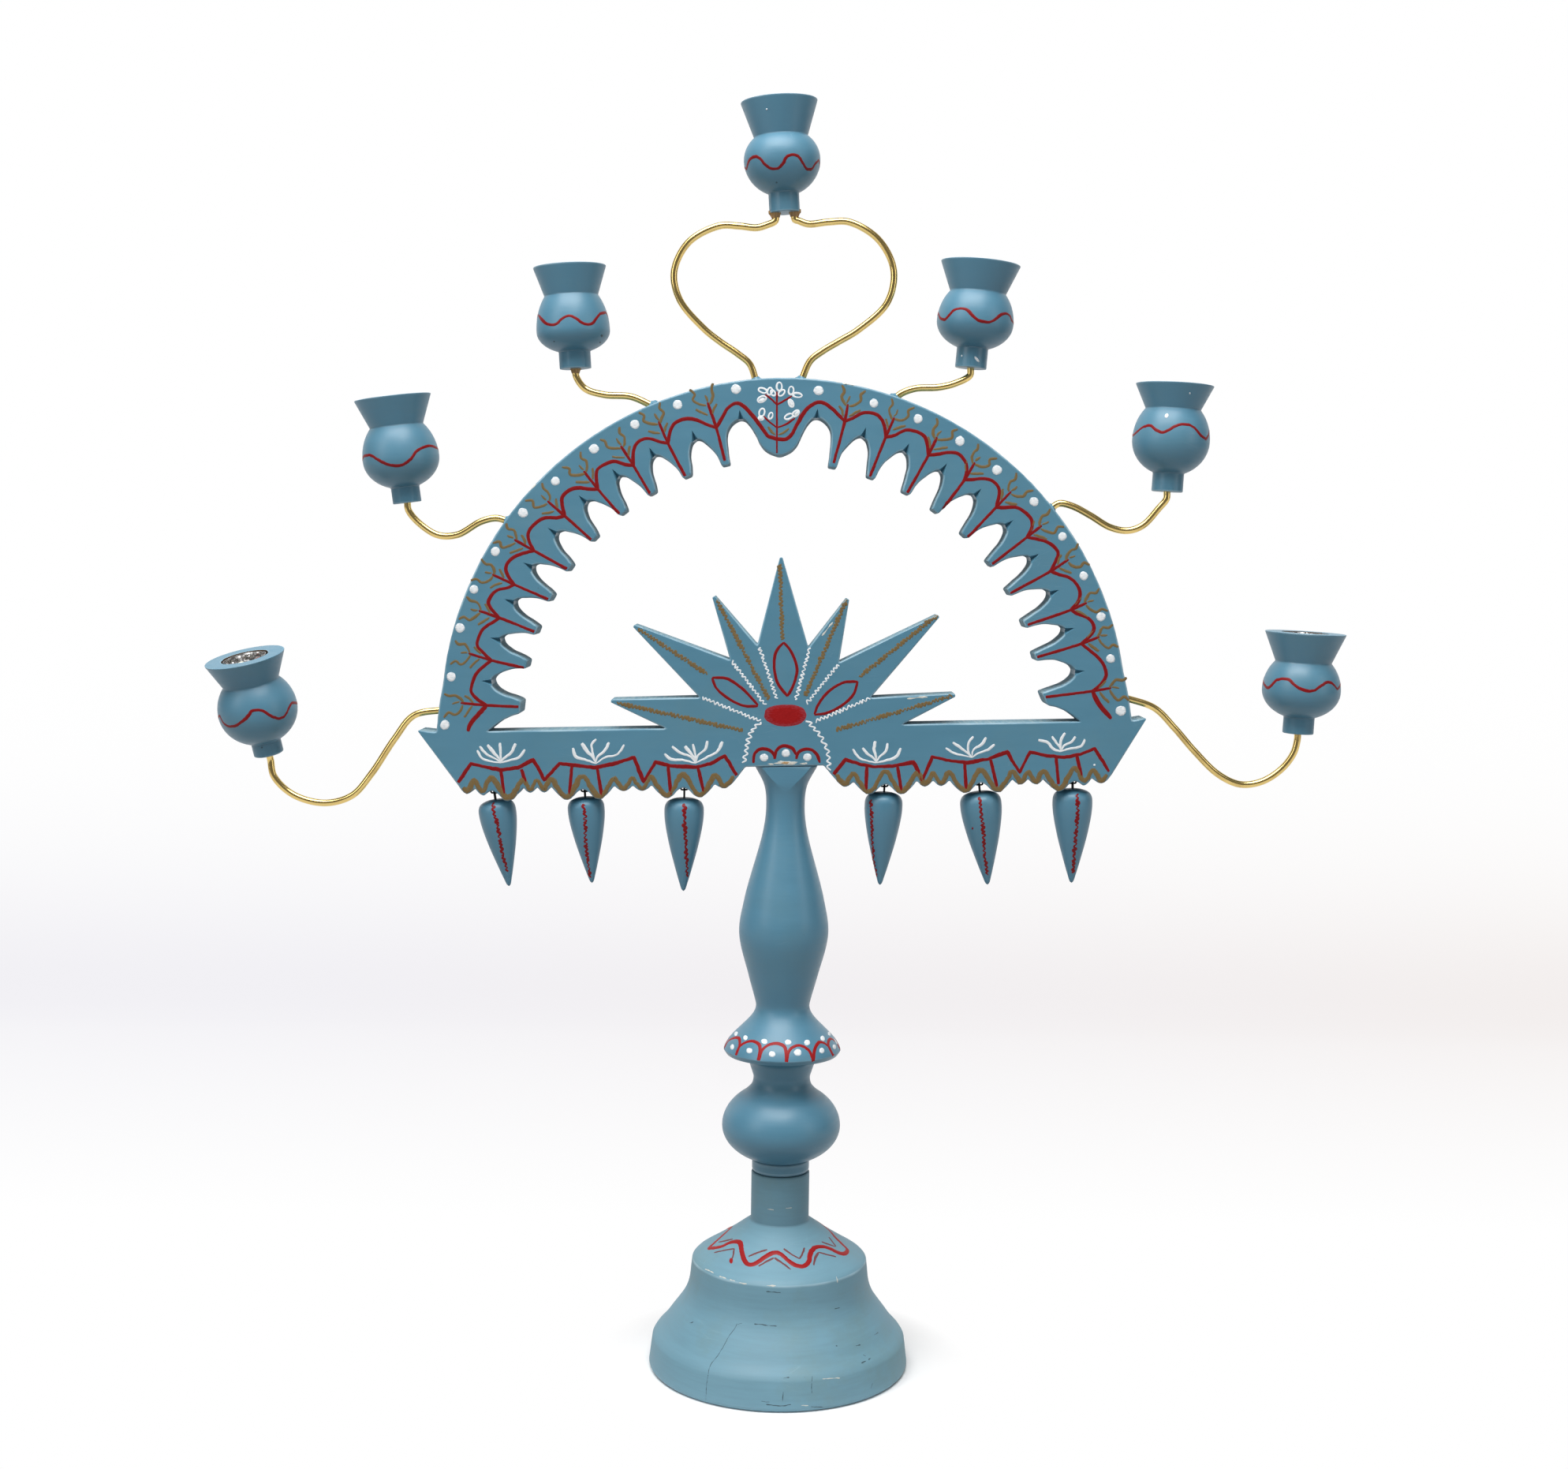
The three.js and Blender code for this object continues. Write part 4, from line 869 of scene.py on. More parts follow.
def makeStem():
    names = ("tenon", "cove", "skirt", "waist", "belly", "neck", "ball", "ballFoot", "ballTop", "top")
    tenon, cove, skirt, waist, belly, neck, ball, ballFoot, ballTop, top = (stem[k] / 2 for k in names)
    centre = stem["shoulder"] + stem["ballLower"]
    coveLow = centre + stem["ballUpper"]
    deep, slope, rise, fall = (stem[k] for k in ("coveHeight", "slope", "waistToBelly", "bellyToNeck"))
    skirtLow = coveLow + deep
    edge = skirtLow + stem["skirtRim"]
    waistAt = edge + slope
    bellyAt = waistAt + rise
    neckAt = bellyAt + fall
    topAt = neckAt + stem["neckToTop"]
    lower = list(reversed(ovalQuarter(ball, ballFoot, centre, -stem["ballLower"])))
    upper = ovalQuarter(ball, ballTop, centre, stem["ballUpper"])[1:]
    hollow = [(cove + x, coveLow + share * deep) for x, share in stem["coveOut"]]
    under, underAt = stem["underSkirt"]
    hollow = smoothLine([(ballTop, coveLow), *hollow, (skirt - under, coveLow + underAt * deep),
                         (skirt - stem["skirtEdge"], skirtLow)], 1)
    shaft = [(skirt - x, edge + share * slope) for x, share in stem["slopeIn"]]
    shaft += [(waist + x, edge + share * slope) for x, share in stem["slopeOut"]]
    shaft.append((waist + stem["waistFoot"][0], waistAt + stem["waistFoot"][1]))
    shaft.append((waist + stem["toBelly"][0] * (belly - waist), waistAt + stem["toBelly"][1] * rise))
    shaft.append((belly, bellyAt))
    shaft += [(neck + wide * (belly - neck), bellyAt + share * fall) for wide, share in stem["toNeck"]]
    shaft += [(neck, neckAt), (neck + stem["neckOut"][0], neckAt + stem["neckOut"][1] * stem["neckToTop"])]
    shaft = smoothLine([(skirt, edge), *shaft, (top, topAt)], 1.5)
    end = topAt + stem["intoBoard"]
    outline = [(0, stem["tenonBottom"]), (tenon, stem["tenonBottom"]), (tenon, stem["shoulder"]),
               *lower, *upper, *hollow[1:], *shaft, (top, end), (0, end)]
    points, faces, marks = turned(softened(outline, 0.6), stem["sides"])
    piece = makePiece("stem_turned", points, faces, paints["stem"], "upper", ["stem"],
                      marks=marks)
    shell = bmesh.new()
    shell.from_mesh(piece.data)
    for side in (-1, 1):
        shave(shell, Vector((0, side * stem["flat"] / 2, 0)), Vector((0, side, 0)), neckAt)
    shave(shell, boardPlace @ Vector((0, 0, -0.3)), boardPlace.to_3x3() @ Vector((0, 0, 1)), neckAt)
    shell.to_mesh(piece.data)
    shell.free()
    piece.data.set_sharp_from_angle(angle=math.radians(32))
    return piece


def shave(shell, at, outwards, above):
    # cuts the stem's top off past a plane and closes the cut
    upper = [v for v in shell.verts if v.co.z > above * mm]
    edges = [e for e in shell.edges if all(v.co.z > above * mm for v in e.verts)]
    faces = [f for f in shell.faces if all(v.co.z > above * mm for v in f.verts)]
    cut = bmesh.ops.bisect_plane(shell, geom=upper + edges + faces, dist=1e-7, plane_co=at * mm,
                                 plane_no=outwards, clear_outer=True)
    rim = [e for e in cut["geom_cut"] if isinstance(e, bmesh.types.BMEdge)]
    bmesh.ops.holes_fill(shell, edges=rim)


footPiece = makeFoot()
makeRing()
stemPiece = makeStem()
print("foot, ring and stem turned")


# The board is sawn from one plank. Its outline is read from the frame, then its edges are softened.
board = {
    "half": 9, "softEdge": 0.65, "wearWidth": 1.0, "cornerAngle": 55, "cornerRound": 0.75, "grain": 0.9,
    "sawWander": 0.1, "archRadius": 147.3, "archCentre": 18,
    "teeth": [11.6, 20.3, 28.7, 36.2, 44.6, 52.9, 60.5, 68.3, 75.9, 84.9],
    "slotTop": 127.3, "firstSlot": (7.05, 131.3), "nick": (3.8, 3.0, 3.2), "nickTurn": 0.4,
    "nickLow": 0.8, "nickHigh": 0.2,
    # the arch's feet spread outwards below this height
    "flareTop": 37, "earTop": 14.8, "flare": 2.4,
    # the ears' tips reach further out, left and right, and up
    "earFrom": 152, "earOut": (3.0, 1.2), "earUp": 0.9,
    # the softened edge: depth into the wood and distance from the face in shares of softEdge, wear (with a
    # painted edge highlight), bareness (with a paler colour that is partly painted light)
    "edge": [(1, 0, 0.8, 0), (0.45, 0.16, 1, 0), (0.13, 0.5, 1, 0.3), (0, 1, 0.8, 0.8)],
    # an inset ring takes up this share of the wood across from it, and changes slowly along the edge
    "room": {"share": 0.24, "open": 9, "slope": 0.2, "least": 0.1, "shrink": 0.7, "rounds": 8},
}


def outlineLoops():
    # the edges of the plank's back face, which nothing is carved into, as closed loops in its own frame
    toBoard = boardPlace.inverted()
    mesh = frame["nodes"]["arch_board"].data
    flat = {}
    for vertex in mesh.vertices:
        own = toBoard @ (vertex.co / mm)
        if own.y > board["half"] - 0.01:          # the back face
            flat[vertex.index] = (round(own.x, 3), round(own.z, 3))
    ways = {}
    for face in mesh.polygons:
        if not all(i in flat for i in face.vertices):
            continue
        ids = [flat[i] for i in face.vertices]
        for a, b in zip(ids, ids[1:] + ids[:1]):
            if a in ways.get(b, ()):
                ways[b].remove(a)
            elif a != b:
                ways.setdefault(a, set()).add(b)
    loops = []
    ways = {a: next(iter(b)) for a, b in ways.items() if b}
    while ways:
        start, here = ways.popitem()
        loop = [start]
        while here != start:
            loop.append(here)
            here = ways.pop(here)
        loops.append([Vector(p) for p in loop])
    return sorted(loops, key=lambda loop: -abs(area(loop)))


def area(loop):
    return sum(a.x * b.y - b.x * a.y for a, b in zip(loop, loop[1:] + loop[:1])) / 2


def straightened(loop):
    # drops points that lie on a straight line
    kept = []
    for i, here in enumerate(loop):
        before, after = here - loop[i - 1], loop[(i + 1) % len(loop)] - here
        if before.length > 1e-6 and math.degrees(before.angle(after, 0)) > 0.4:
            kept.append(here)
    return kept


def hewn(loop):
    # the outer edge near the ends of the plank, as the saw left it
    line = []
    for here in loop:
        side = 1 if here.x > 0 else -1
        move = Vector((0, 0))
        if abs(here.x) > board["earFrom"] and here.y > 0.5 * board["earTop"]:
            move = Vector((side * board["earOut"][side > 0], board["earUp"]))
        elif abs(here.x) > board["archRadius"] - 3 and board["earTop"] - 2 < here.y < board["flareTop"]:
            share = (board["flareTop"] - here.y) / (board["flareTop"] - board["earTop"])
            move = Vector((side * board["flare"] * share, 0))
        line.append(here + move)
    return line


def refined(loop):
    # smooth stretches get more points, sharp corners are rounded a little
    count = len(loop)
    corner = []
    for i, here in enumerate(loop):
        before, after = here - loop[i - 1], loop[(i + 1) % count] - here
        corner.append(math.degrees(before.angle(after, 0)) > board["cornerAngle"])
    line = []
    for i in range(count):
        b, c = loop[i], loop[(i + 1) % count]
        a = 2 * b - c if corner[i] else loop[i - 1]
        d = 2 * c - b if corner[(i + 1) % count] else loop[(i + 2) % count]
        long = (c - b).length > 20
        steps = [b] if long else smoothLine([a, b, c, d], board["grain"])
        if not long:
            # keeps only the middle stretch, from b to c
            first = next(k for k, p in enumerate(steps) if (p - b).length < 1e-5)
            last = next(k for k, p in enumerate(steps) if k > first and (p - c).length < 1e-5)
            steps = steps[first:last]
        if corner[i]:
            before, after = loop[i - 1] - b, c - b
            cut = min(board["cornerRound"], 0.3 * before.length, 0.3 * after.length)
            p, q = b + before.normalized() * cut, b + after.normalized() * cut
            steps = [p, b * 0.5 + (p + q) * 0.25, q] + [s for s in steps[1:] if (s - b).length > 1.3 * cut]
        line.extend(steps)
    for k, here in enumerate(line):
        wander = Vector((noise.noise(Vector((here.x * 0.35, here.y * 0.35, 3))),
                         noise.noise(Vector((here.x * 0.35, here.y * 0.35, 7)))))
        line[k] = here + wander * board["sawWander"]
    return line


def inwards(loop):
    # at each point the way into the wood, which lies on the loop's left, stretched at corners
    ways = []
    for i, here in enumerate(loop):
        before = (here - loop[i - 1]).normalized()
        after = (loop[(i + 1) % len(loop)] - here).normalized()
        one, other = Vector((-before.y, before.x)), Vector((-after.y, after.x))
        way = (one + other).normalized()
        ways.append(way / max(way.dot(one), 0.5))
    return ways


def roomFor(loops, ways):
    # the share of the full inset that fits at each point, small near the tips of the teeth and rays
    rules, full = board["room"], board["wearWidth"]
    points = [Vector((p.x, p.y, z)) for loop in loops for p in loop for z in (-1, 1)]
    walls, first = [], 0
    for loop in loops:
        for i in range(len(loop)):
            a, b = first + 2 * i, first + 2 * ((i + 1) % len(loop))
            walls.append((a, b, b + 1, a + 1))
        first += 2 * len(loop)
    tree = BVHTree.FromPolygons(points, walls)
    rooms = []
    for loop, loopWays in zip(loops, ways):
        room = []
        for here, way in zip(loop, loopWays):
            flat = Vector((way.x, way.y, 0)).normalized()
            *_, gap = tree.ray_cast(Vector((here.x, here.y, 0)) + 0.03 * flat, flat)
            room.append(min(1, rules["share"] * (gap or rules["open"]) / full))
        for turn in (1, -1):
            # neighbours may differ only a little
            for i in list(range(len(loop)))[::turn] * 2:
                j = (i - turn) % len(loop)
                room[i] = min(room[i], room[j] + rules["slope"] * (loop[i] - loop[j]).length / full)
        for i in list(range(len(loop))) * rules["rounds"]:
            # no stretch of the inset ring may run backwards
            j = (i + 1) % len(loop)
            edge = loop[j] - loop[i]
            inset = edge + (loopWays[j] * room[j] - loopWays[i] * room[i]) * full
            if inset.dot(edge) < rules["least"] * edge.length_squared:
                room[i], room[j] = rules["shrink"] * room[i], rules["shrink"] * room[j]
        rooms.append(room)
    return rooms


def makeBoard():
    half, soft, wide = board["half"], board["softEdge"], board["wearWidth"]
    loops = [refined(hewn(straightened(loop))) for loop in outlineLoops()]
    for k, loop in enumerate(loops):
        if (area(loop) > 0) != (k == 0):
            loop.reverse()
    # depth into the wood, distance from the front face, how worn the ring is (with a painted edge highlight),
    # and how bare of gloss it is (with a paler colour that is partly painted light)
    near = [(depth * soft, y * soft, wornAndHighlit, sawn) for depth, y, wornAndHighlit, sawn in board["edge"]]
    near = [(wide, 0, 0, 0), *near, (0, wide, 0, 1)]
    steps = near + [(depth, 2 * half - y, wornAndHighlit, sawn) for depth, y, wornAndHighlit, sawn in reversed(near)]
    points, faces, marks = [], [], {"wear": [], "sawn": []}
    ends = {0: [], len(steps) - 1: []}
    ways = [inwards(loop) for loop in loops]
    for loop, way, room in zip(loops, ways, roomFor(loops, ways)):
        first = len(points)
        count = len(loop)
        for k, (depth, y, wornAndHighlit, sawn) in enumerate(steps):
            ringPoints = [p + w * depth * share for p, w, share in zip(loop, way, room)]
            if k in ends:
                ends[k].append((ringPoints, first + k * count))
            points.extend(Vector((p.x, y - half, p.y)) for p in ringPoints)
            marks["wear"].extend([wornAndHighlit] * count)
            marks["sawn"].extend([sawn] * count)
        for k in range(len(steps) - 1):
            for i in range(count):
                j = (i + 1) % count
                a, b = first + k * count, first + (k + 1) * count
                faces.append((a + i, b + i, b + j, a + j))
    for k, rings in ends.items():
        flat = [[Vector((p.x, p.y, 0)) for p in ringPoints] for ringPoints, start in rings]
        ids = [start + i for ringPoints, start in rings for i in range(len(ringPoints))]
        for tri in tessellate_polygon(flat):
            faces.append(tuple(ids[i] for i in tri))
    points = [boardPlace @ p for p in points]
    piece = makePiece("board_sawn", points, faces, paints["board"], "upper", ["arch_board"],
                      marks=marks)
    turnOutwards(piece.data)
    carve(piece)
    return piece


def archPoint(degrees, radius, depth=0):
    turn = math.radians(degrees)
    return Vector((radius * math.sin(turn), depth, board["archCentre"] + radius * math.cos(turn)))


def carve(piece):
    # cuts the triangular nick at the top of each slot
    length, width, deep = board["nick"]
    lift = board["half"]
    teeth = board["teeth"]
    places = [board["firstSlot"]]
    places += [((a + b) / 2 + board["nickTurn"], board["slotTop"]) for a, b in zip(teeth, teeth[1:])]
    points, faces = [], []
    for side in (-1, 1):
        for degrees, radius in places:
            turn = Matrix.Rotation(math.radians(side * degrees), 4, "Y")
            base = len(points)
            low = radius - board["nickLow"]
            for x, y, z in ((0, -lift, radius + length), (-width / 2, -lift, low), (width / 2, -lift, low),
                            (0, deep - lift, low), (0, -deep - lift, radius + board["nickHigh"] * length)):
                own = turn @ Vector((x, y, z)) + Vector((0, 0, board["archCentre"]))
                points.append(boardPlace @ own * mm)
            for face in ((0, 3, 1), (0, 2, 3), (1, 3, 2), (0, 1, 4), (0, 4, 2), (1, 2, 4)):
                faces.append(tuple(base + i for i in face))
    mesh = bpy.data.meshes.new("nick_cutter")
    mesh.from_pydata(points, [], faces)
    mesh.attributes.new("sawn", "FLOAT", "POINT").data.foreach_set("value", [1] * len(points))
    turnOutwards(mesh)
    cutter = bpy.data.objects.new("nick_cutter", mesh)
    bpy.context.scene.collection.objects.link(cutter)
    cut = piece.modifiers.new("nicks", "BOOLEAN")
    cut.operation = "DIFFERENCE"
    cut.solver = "EXACT"
    cut.object = cutter
    bpy.context.view_layer.update()
    done = bpy.data.meshes.new_from_object(piece.evaluated_get(bpy.context.evaluated_depsgraph_get()))
    piece.modifiers.clear()
    piece.data = done
    piece.data.shade_smooth()
    piece.data.set_sharp_from_angle(angle=math.radians(32))
    bpy.data.objects.remove(cutter)


boardPiece = makeBoard()
print("board sawn:", len(boardPiece.data.vertices), "points")


# Brass wires. The bends start where a wire leaves the arch, (across, up) in the board's frame.
wires = {
    "diameter": 3, "inBoard": 13, "inCup": 12, "lead": 3, "heartSpacing": 8.2, "sides": 20,
    "arms": {
        "lower_left": (-86.8, [
            (-13.3, -2.3), (-22, -12.3), (-32.6, -27.4), (-41.3, -36.7), (-53.3, -39.8), (-66.8, -36),
            (-75, -27.7),
        ]),
        "middle_left": (-52.8, [(-4.9, 1.3), (-11.6, -0.1), (-21.8, -5.5), (-30.2, -5.5), (-38.5, 0.1)]),
        "upper_left": (-21.5, [(-9.1, 4), (-20.5, 5), (-28.7, 7.8)]),
        "upper_right": (19.8, [(3.1, 2.1), (8.9, 3.9), (18.6, 4.2), (25.6, 5.7)]),
        "middle_right": (52.1, [
            (3.6, 2.1), (9.4, 0.8), (17, -3.3), (25.5, -8.5), (33, -10), (39.5, -7.9), (46.2, -0.9),
        ]),
        "lower_right": (86.6, [
            (13.5, -4.9), (22.1, -13.6), (30.7, -23.8), (41.1, -34.2), (50.7, -38.8), (60, -37.8),
            (68.5, -32.6), (73.8, -25.8),
        ]),
        "heart_left": (-3.7, [
            (-2.5, 7), (-7.5, 11.4), (-14.8, 16.5), (-21.9, 22.4), (-31.9, 34.7), (-34, 46.4),
            (-27.7, 58.5), (-14.5, 65.2), (-5.8, 65), (1.5, 64.2), (5.9, 65.3),
        ]),
        "heart_right": (3.9, [
            (3.8, 7.9), (8.9, 11.8), (16.3, 16), (24.4, 20.6), (37, 31.9), (39.9, 45.5), (33.6, 58.4),
            (21.4, 65.9), (12.7, 66.1), (3.9, 65.4), (-0.4, 66.9),
        ]),
    },
}

# Candle cups: diameters, then heights along the axis; facets is the number of whittled sides of a collar
cups = {
    "boreDiameter": 20, "boreDepth": 22, "sides": 112, "edgeRound": 0.45, "rimWear": 1.1,
    "kinds": {
        "lower_left": {
            "rim": 34.2, "waist": 23.8, "bulb": 33.8, "collar": 12.8, "heights": (5.8, 14.2, 12.5, 11.4),
            "facets": 0,
        },
        "middle_left": {
            "rim": 32.6, "waist": 22.6, "bulb": 32.6, "collar": 12.4, "heights": (7, 11.9, 14, 12.3),
            "facets": 7,
        },
        "upper_left": {
            "rim": 31, "waist": 22.8, "bulb": 31.4, "collar": 13.6, "heights": (7.4, 8.4, 15, 12.2),
            "facets": 6,
        },
        "top": {
            "rim": 32.6, "waist": 22.8, "bulb": 32.6, "collar": 13.2, "heights": (8.2, 13.7, 9.6, 14.8),
            "facets": 9,
        },
        "upper_right": {
            "rim": 33.9, "waist": 23.8, "bulb": 32.8, "collar": 13.4, "heights": (8.6, 10.6, 12.7, 12.4),
            "facets": 0,
        },
        "middle_right": {
            "rim": 33.2, "waist": 23.4, "bulb": 33, "collar": 13.3, "heights": (8, 13.6, 13.5, 10.4),
            "facets": 0,
        },
        "lower_right": {
            "rim": 34.4, "waist": 23.8, "bulb": 33.4, "collar": 13.2, "heights": (7.2, 11.5, 12.3, 12.8),
            "facets": 0,
        },
    },
}


def cupPlace(where):
    # a cup's own place, from the frame's mount on the floor of its bore, with the cup's foot at the origin
    mount = next(m for m in frame["record"]["mounts"] if m["name"] == "candle_seat_" + where)
    axis = Vector(mount["axis"]).normalized()
    floor = Vector(mount["pos_m"]) / mm
    heights = cups["kinds"][where]["heights"]
    origin = floor - axis * (sum(heights) - cups["boreDepth"])
    side = Vector((0, 1, 0)).cross(axis).normalized()
    turn = Matrix((side, axis.cross(side), axis)).transposed().to_4x4()
    return Matrix.Translation(origin) @ turn


def makeCup(where):
    kind = cups["kinds"][where]
    collar, belly, shoulder, rim = kind["heights"]
    centre = collar + belly
    waistAt = centre + shoulder
    top = waistAt + rim
    half = {k: kind[k] / 2 for k in ("rim", "waist", "bulb", "collar")}
    lower = list(reversed(ovalQuarter(half["bulb"], half["collar"], centre, -belly)))
    upper = ovalQuarter(half["bulb"], half["waist"], centre, shoulder)[1:]
    bore = cups["boreDiameter"] / 2
    floor = top - cups["boreDepth"]
    outline = [(0, 0), (half["collar"], 0), *lower, *upper, (half["rim"], top), (bore, top),
               (bore, floor), (0, floor)]
    line = softened(outline, cups["edgeRound"], wide=cups["rimWear"])

    def whittled(radius, turn, height):
        if kind["facets"] and height < collar - 0.2 and radius > 2:
            part = 2 * math.pi / kind["facets"]
            flat = math.cos(part / 2) / math.cos((turn + 0.3) % part - part / 2)
            return radius * (0.35 + 0.65 * (0.5 + 0.5 * flat))
        return radius * (1 + 0.004 * math.sin(2 * turn + height * 0.1))

    points, faces, marks = turned(line, cups["sides"], cupPlace(where), whittled)
    inBore = []
    place = cupPlace(where).inverted()
    for number, face in enumerate(faces):
        middle = place @ (sum((points[i] for i in face), Vector()) / len(face))
        if middle.z > floor - 0.5 and math.hypot(middle.x, middle.y) < bore + 0.15:
            inBore.append(number)
    return makePiece("cup_turned_" + where, points, faces, paints["cup"], "upper",
                     ["cup_" + where], marks=marks, second=(woods["bore"], inBore))


def wireLine(where):
    degrees, bends = wires["arms"][where]
    edge = archPoint(degrees, board["archRadius"])
    out = Vector((bends[0][0], 0, bends[0][1])).normalized()
    place = cupPlace("top" if where.startswith("heart") else where)
    aside = {"heart_left": -0.5, "heart_right": 0.5}.get(where, 0) * wires["heartSpacing"]
    lead, foot, end = (place @ Vector((aside, 0, up)) for up in (-wires["lead"], 0, wires["inCup"]))
    middle = [boardPlace @ (edge + Vector((x, 0, z))) for x, z in bends]
    start = boardPlace @ (edge - out * wires["inBoard"])
    return [start] + smoothLine([boardPlace @ edge, *middle, lead, foot], 0.9) + [end]


def makeWire(where):
    points, faces = tube(wireLine(where), wires["diameter"] / 2, wires["sides"])
    makePiece("brass_" + where, points, faces, metals["brass"], "upper", ["wire_" + where])


cupPieces = {where: makeCup(where) for where in cups["kinds"]}
for where in wires["arms"]:
    makeWire(where)
print("cups and wires made")


# Small beads of paint or glue where a wire enters the wood
beads = {"foot": 2.7, "height": 1.3, "sunk": 1.2, "uneven": 0.12, "cupGlue": ("upper_left", "top")}


def beadAt(spot, along, tall):
    # a low cone round the wire, uneven as a drop of paint is
    turn = along.to_track_quat("Z", "Y").to_matrix().to_4x4()
    radius, wide, sunk = wires["diameter"] / 2, beads["foot"], beads["sunk"]
    outline = [(radius - 0.1, -sunk), (wide, -sunk), (wide, -0.1), (0.55 * wide + 0.45 * radius, 0.35 * tall),
               (radius + 0.2, tall), (radius - 0.1, tall)]
    seed = dice.uniform(0, 50)

    def uneven(r, turn, height):
        swell = noise.noise(Vector((math.cos(turn), math.sin(turn), seed)))
        return r if r < radius + 0.05 else r * (1 + beads["uneven"] * swell)

    line = [(Vector(p), 0) for p in smoothLine(outline[2:5], 0.3)]
    line = [(Vector(outline[0]), 0), (Vector(outline[1]), 0), *line, (Vector(outline[5]), 0)]
    return turned(line, 28, Matrix.Translation(spot) @ turn, uneven)


def makeBeads():
    kinds = {"paint_beads": [], "glue_beads": []}
    for where in wires["arms"]:
        line = wireLine(where)
        kinds["paint_beads"].append((line[1], line[2] - line[1], beads["height"]))
    for where in beads["cupGlue"]:
        sides = ("heart_left", "heart_right") if where == "top" else (where,)
        for side in sides:
            line = wireLine(side)
            kinds["glue_beads"].append((line[-2], line[-3] - line[-2], 1.5 * beads["height"]))
    for name, places in kinds.items():
        points, faces = [], []
        for spot, along, tall in places:
            more, sheets, marks = beadAt(spot, along, tall)
            faces += [tuple(i + len(points) for i in face) for face in sheets]
            points += more
        material = paints["board"] if name == "paint_beads" else woods["plain"]
        makePiece(name, points, faces, material, "upper")


makeBeads()


# Crumpled foil and candle ends left in the cups that the photograph looks into
def makeFoil(where, depth, rise):
    place = cupPlace(where)
    top = sum(cups["kinds"][where]["heights"])
    bore = cups["boreDiameter"] / 2
    seed = dice.uniform(0, 50)
    rows = [(bore - 0.35, top + rise), (bore - 0.5, top - 0.25 * depth), (bore - 0.8, top - 0.6 * depth),
            (bore - 2.2, top - 0.9 * depth), (0.45 * bore, top - depth), (0, top - depth - 0.3)]
    outer = smoothLine(rows, 0.7)
    inner = [Vector((max(p.x - 0.35, 0), p.y + (0.35 if p.x < bore - 2 else 0))) for p in outer]
    outline = [(p, 0) for p in reversed(outer)] + [(p, 0) for p in inner]

    def crumple(radius, turn, height):
        spot = Vector((2.6 * math.cos(turn), 2.6 * math.sin(turn), height * 0.42 + seed))
        folds = abs(noise.noise(spot)) + 0.5 * abs(noise.noise(spot * 2.3))
        return radius - min(1.7, radius * 0.3) * folds

    points, faces, marks = turned(outline, 72, place, crumple)
    makePiece("foil_" + where, points, faces, metals["foil"], "upper", sharp=14)


def makeWaxLump(name, where, at, size, material):
    ball = bmesh.new()
    bmesh.ops.create_icosphere(ball, subdivisions=4, radius=1)
    place = cupPlace(where)
    seed = dice.uniform(0, 50)
    for v in ball.verts:
        bumpy = 1 + 0.28 * noise.noise(v.co * 1.7 + Vector((seed, 0, 0))) + 0.1 * noise.noise(v.co * 5)
        v.co = Vector((v.co.x * size[0], v.co.y * size[1], v.co.z * size[2])) * bumpy + Vector(at)
    points = [place @ v.co for v in ball.verts]
    faces = [tuple(v.index for v in f.verts) for f in ball.faces]
    ball.free()
    makePiece(name, points, faces, material, "upper")


for where, depth, rise in (("lower_left", 6, -0.4), ("middle_left", 4, -0.3), ("lower_right", 4.5, -0.3)):
    makeFoil(where, depth, rise)
leftTop = sum(cups["kinds"]["lower_left"]["heights"])
makeWaxLump("wax_white", "lower_left", (-1.2, 0.6, leftTop - 4.6), (3.1, 2.6, 2.3), waxes["white"])
makeWaxLump("wax_red", "lower_left", (5.6, 3.0, leftTop - 3.4), (2.6, 3.2, 1.6), waxes["red"])
print("foil and wax laid")


# Hooks: a staple in each hook notch and an eye in each drop
hooks = {
    "wire": 0.8, "eyeRadius": 1.1, "crownDrop": 1.8, "spacing": 3, "inBoard": 6, "inDrop": 5,
    "clear": 0.35,     # the drops' tops sit this much lower, so that they swing clear of the wavy sawn edge
    "bend": 0.6, "innerBend": 0.18, "sides": 72, "wireSides": 12,
    # diameter, length, lean and hang of each drop
    "drops": [(16.2, 39.1, 9, 2.3), (16, 38.5, 4.8, 1.8), (17.2, 41.6, 0, 2.9), (16.5, 41.5, -1.6, 1.8),
              (18, 41.8, 6, 2.2), (17.3, 42, 0.8, 1.7)],
}
# the drops' outline: shares of the radius and of the length from the top
dropProfile = [(0, 1), (0.085, 0.985), (0.225, 0.9), (0.5, 0.7), (0.76, 0.49), (0.96, 0.27), (1, 0.16),
               (0.97, 0.09), (0.84, 0.045), (0.5, 0.013), (0, 0)]


def crownOf(number):
    joint = next(j for j in frame["joints"] if j["name"] == f"drop_{number}_swing")
    return Vector(joint["pos_m"]) / mm


def makeStaple(number):
    crown = crownOf(number)
    leg = hooks["spacing"] / 2
    up = hooks["crownDrop"] + hooks["inBoard"]
    tilt = boardPlace.to_3x3()
    bend, inner = hooks["bend"], hooks["innerBend"]
    corners = [(-leg, up), (-leg, bend), (-leg + inner, inner), (-leg + bend, 0), (leg - bend, 0),
               (leg - inner, inner), (leg, bend), (leg, up)]
    line = [crown + tilt @ Vector((x, 0, z)) for x, z in corners]
    line = [line[0]] + smoothLine(line[1:4], 0.15) + smoothLine(line[4:7], 0.15) + [line[7]]
    points, faces = tube(line, hooks["wire"] / 2, hooks["wireSides"])
    makePiece(f"hook_staple_{number}", points, faces, metals["hook"], "upper",
              [f"staple_{number}"])


def dropPlace(number):
    lean = hooks["drops"][number - 1][2]
    return Matrix.Translation(crownOf(number)) @ Matrix.Rotation(math.radians(-lean), 4, "Y")


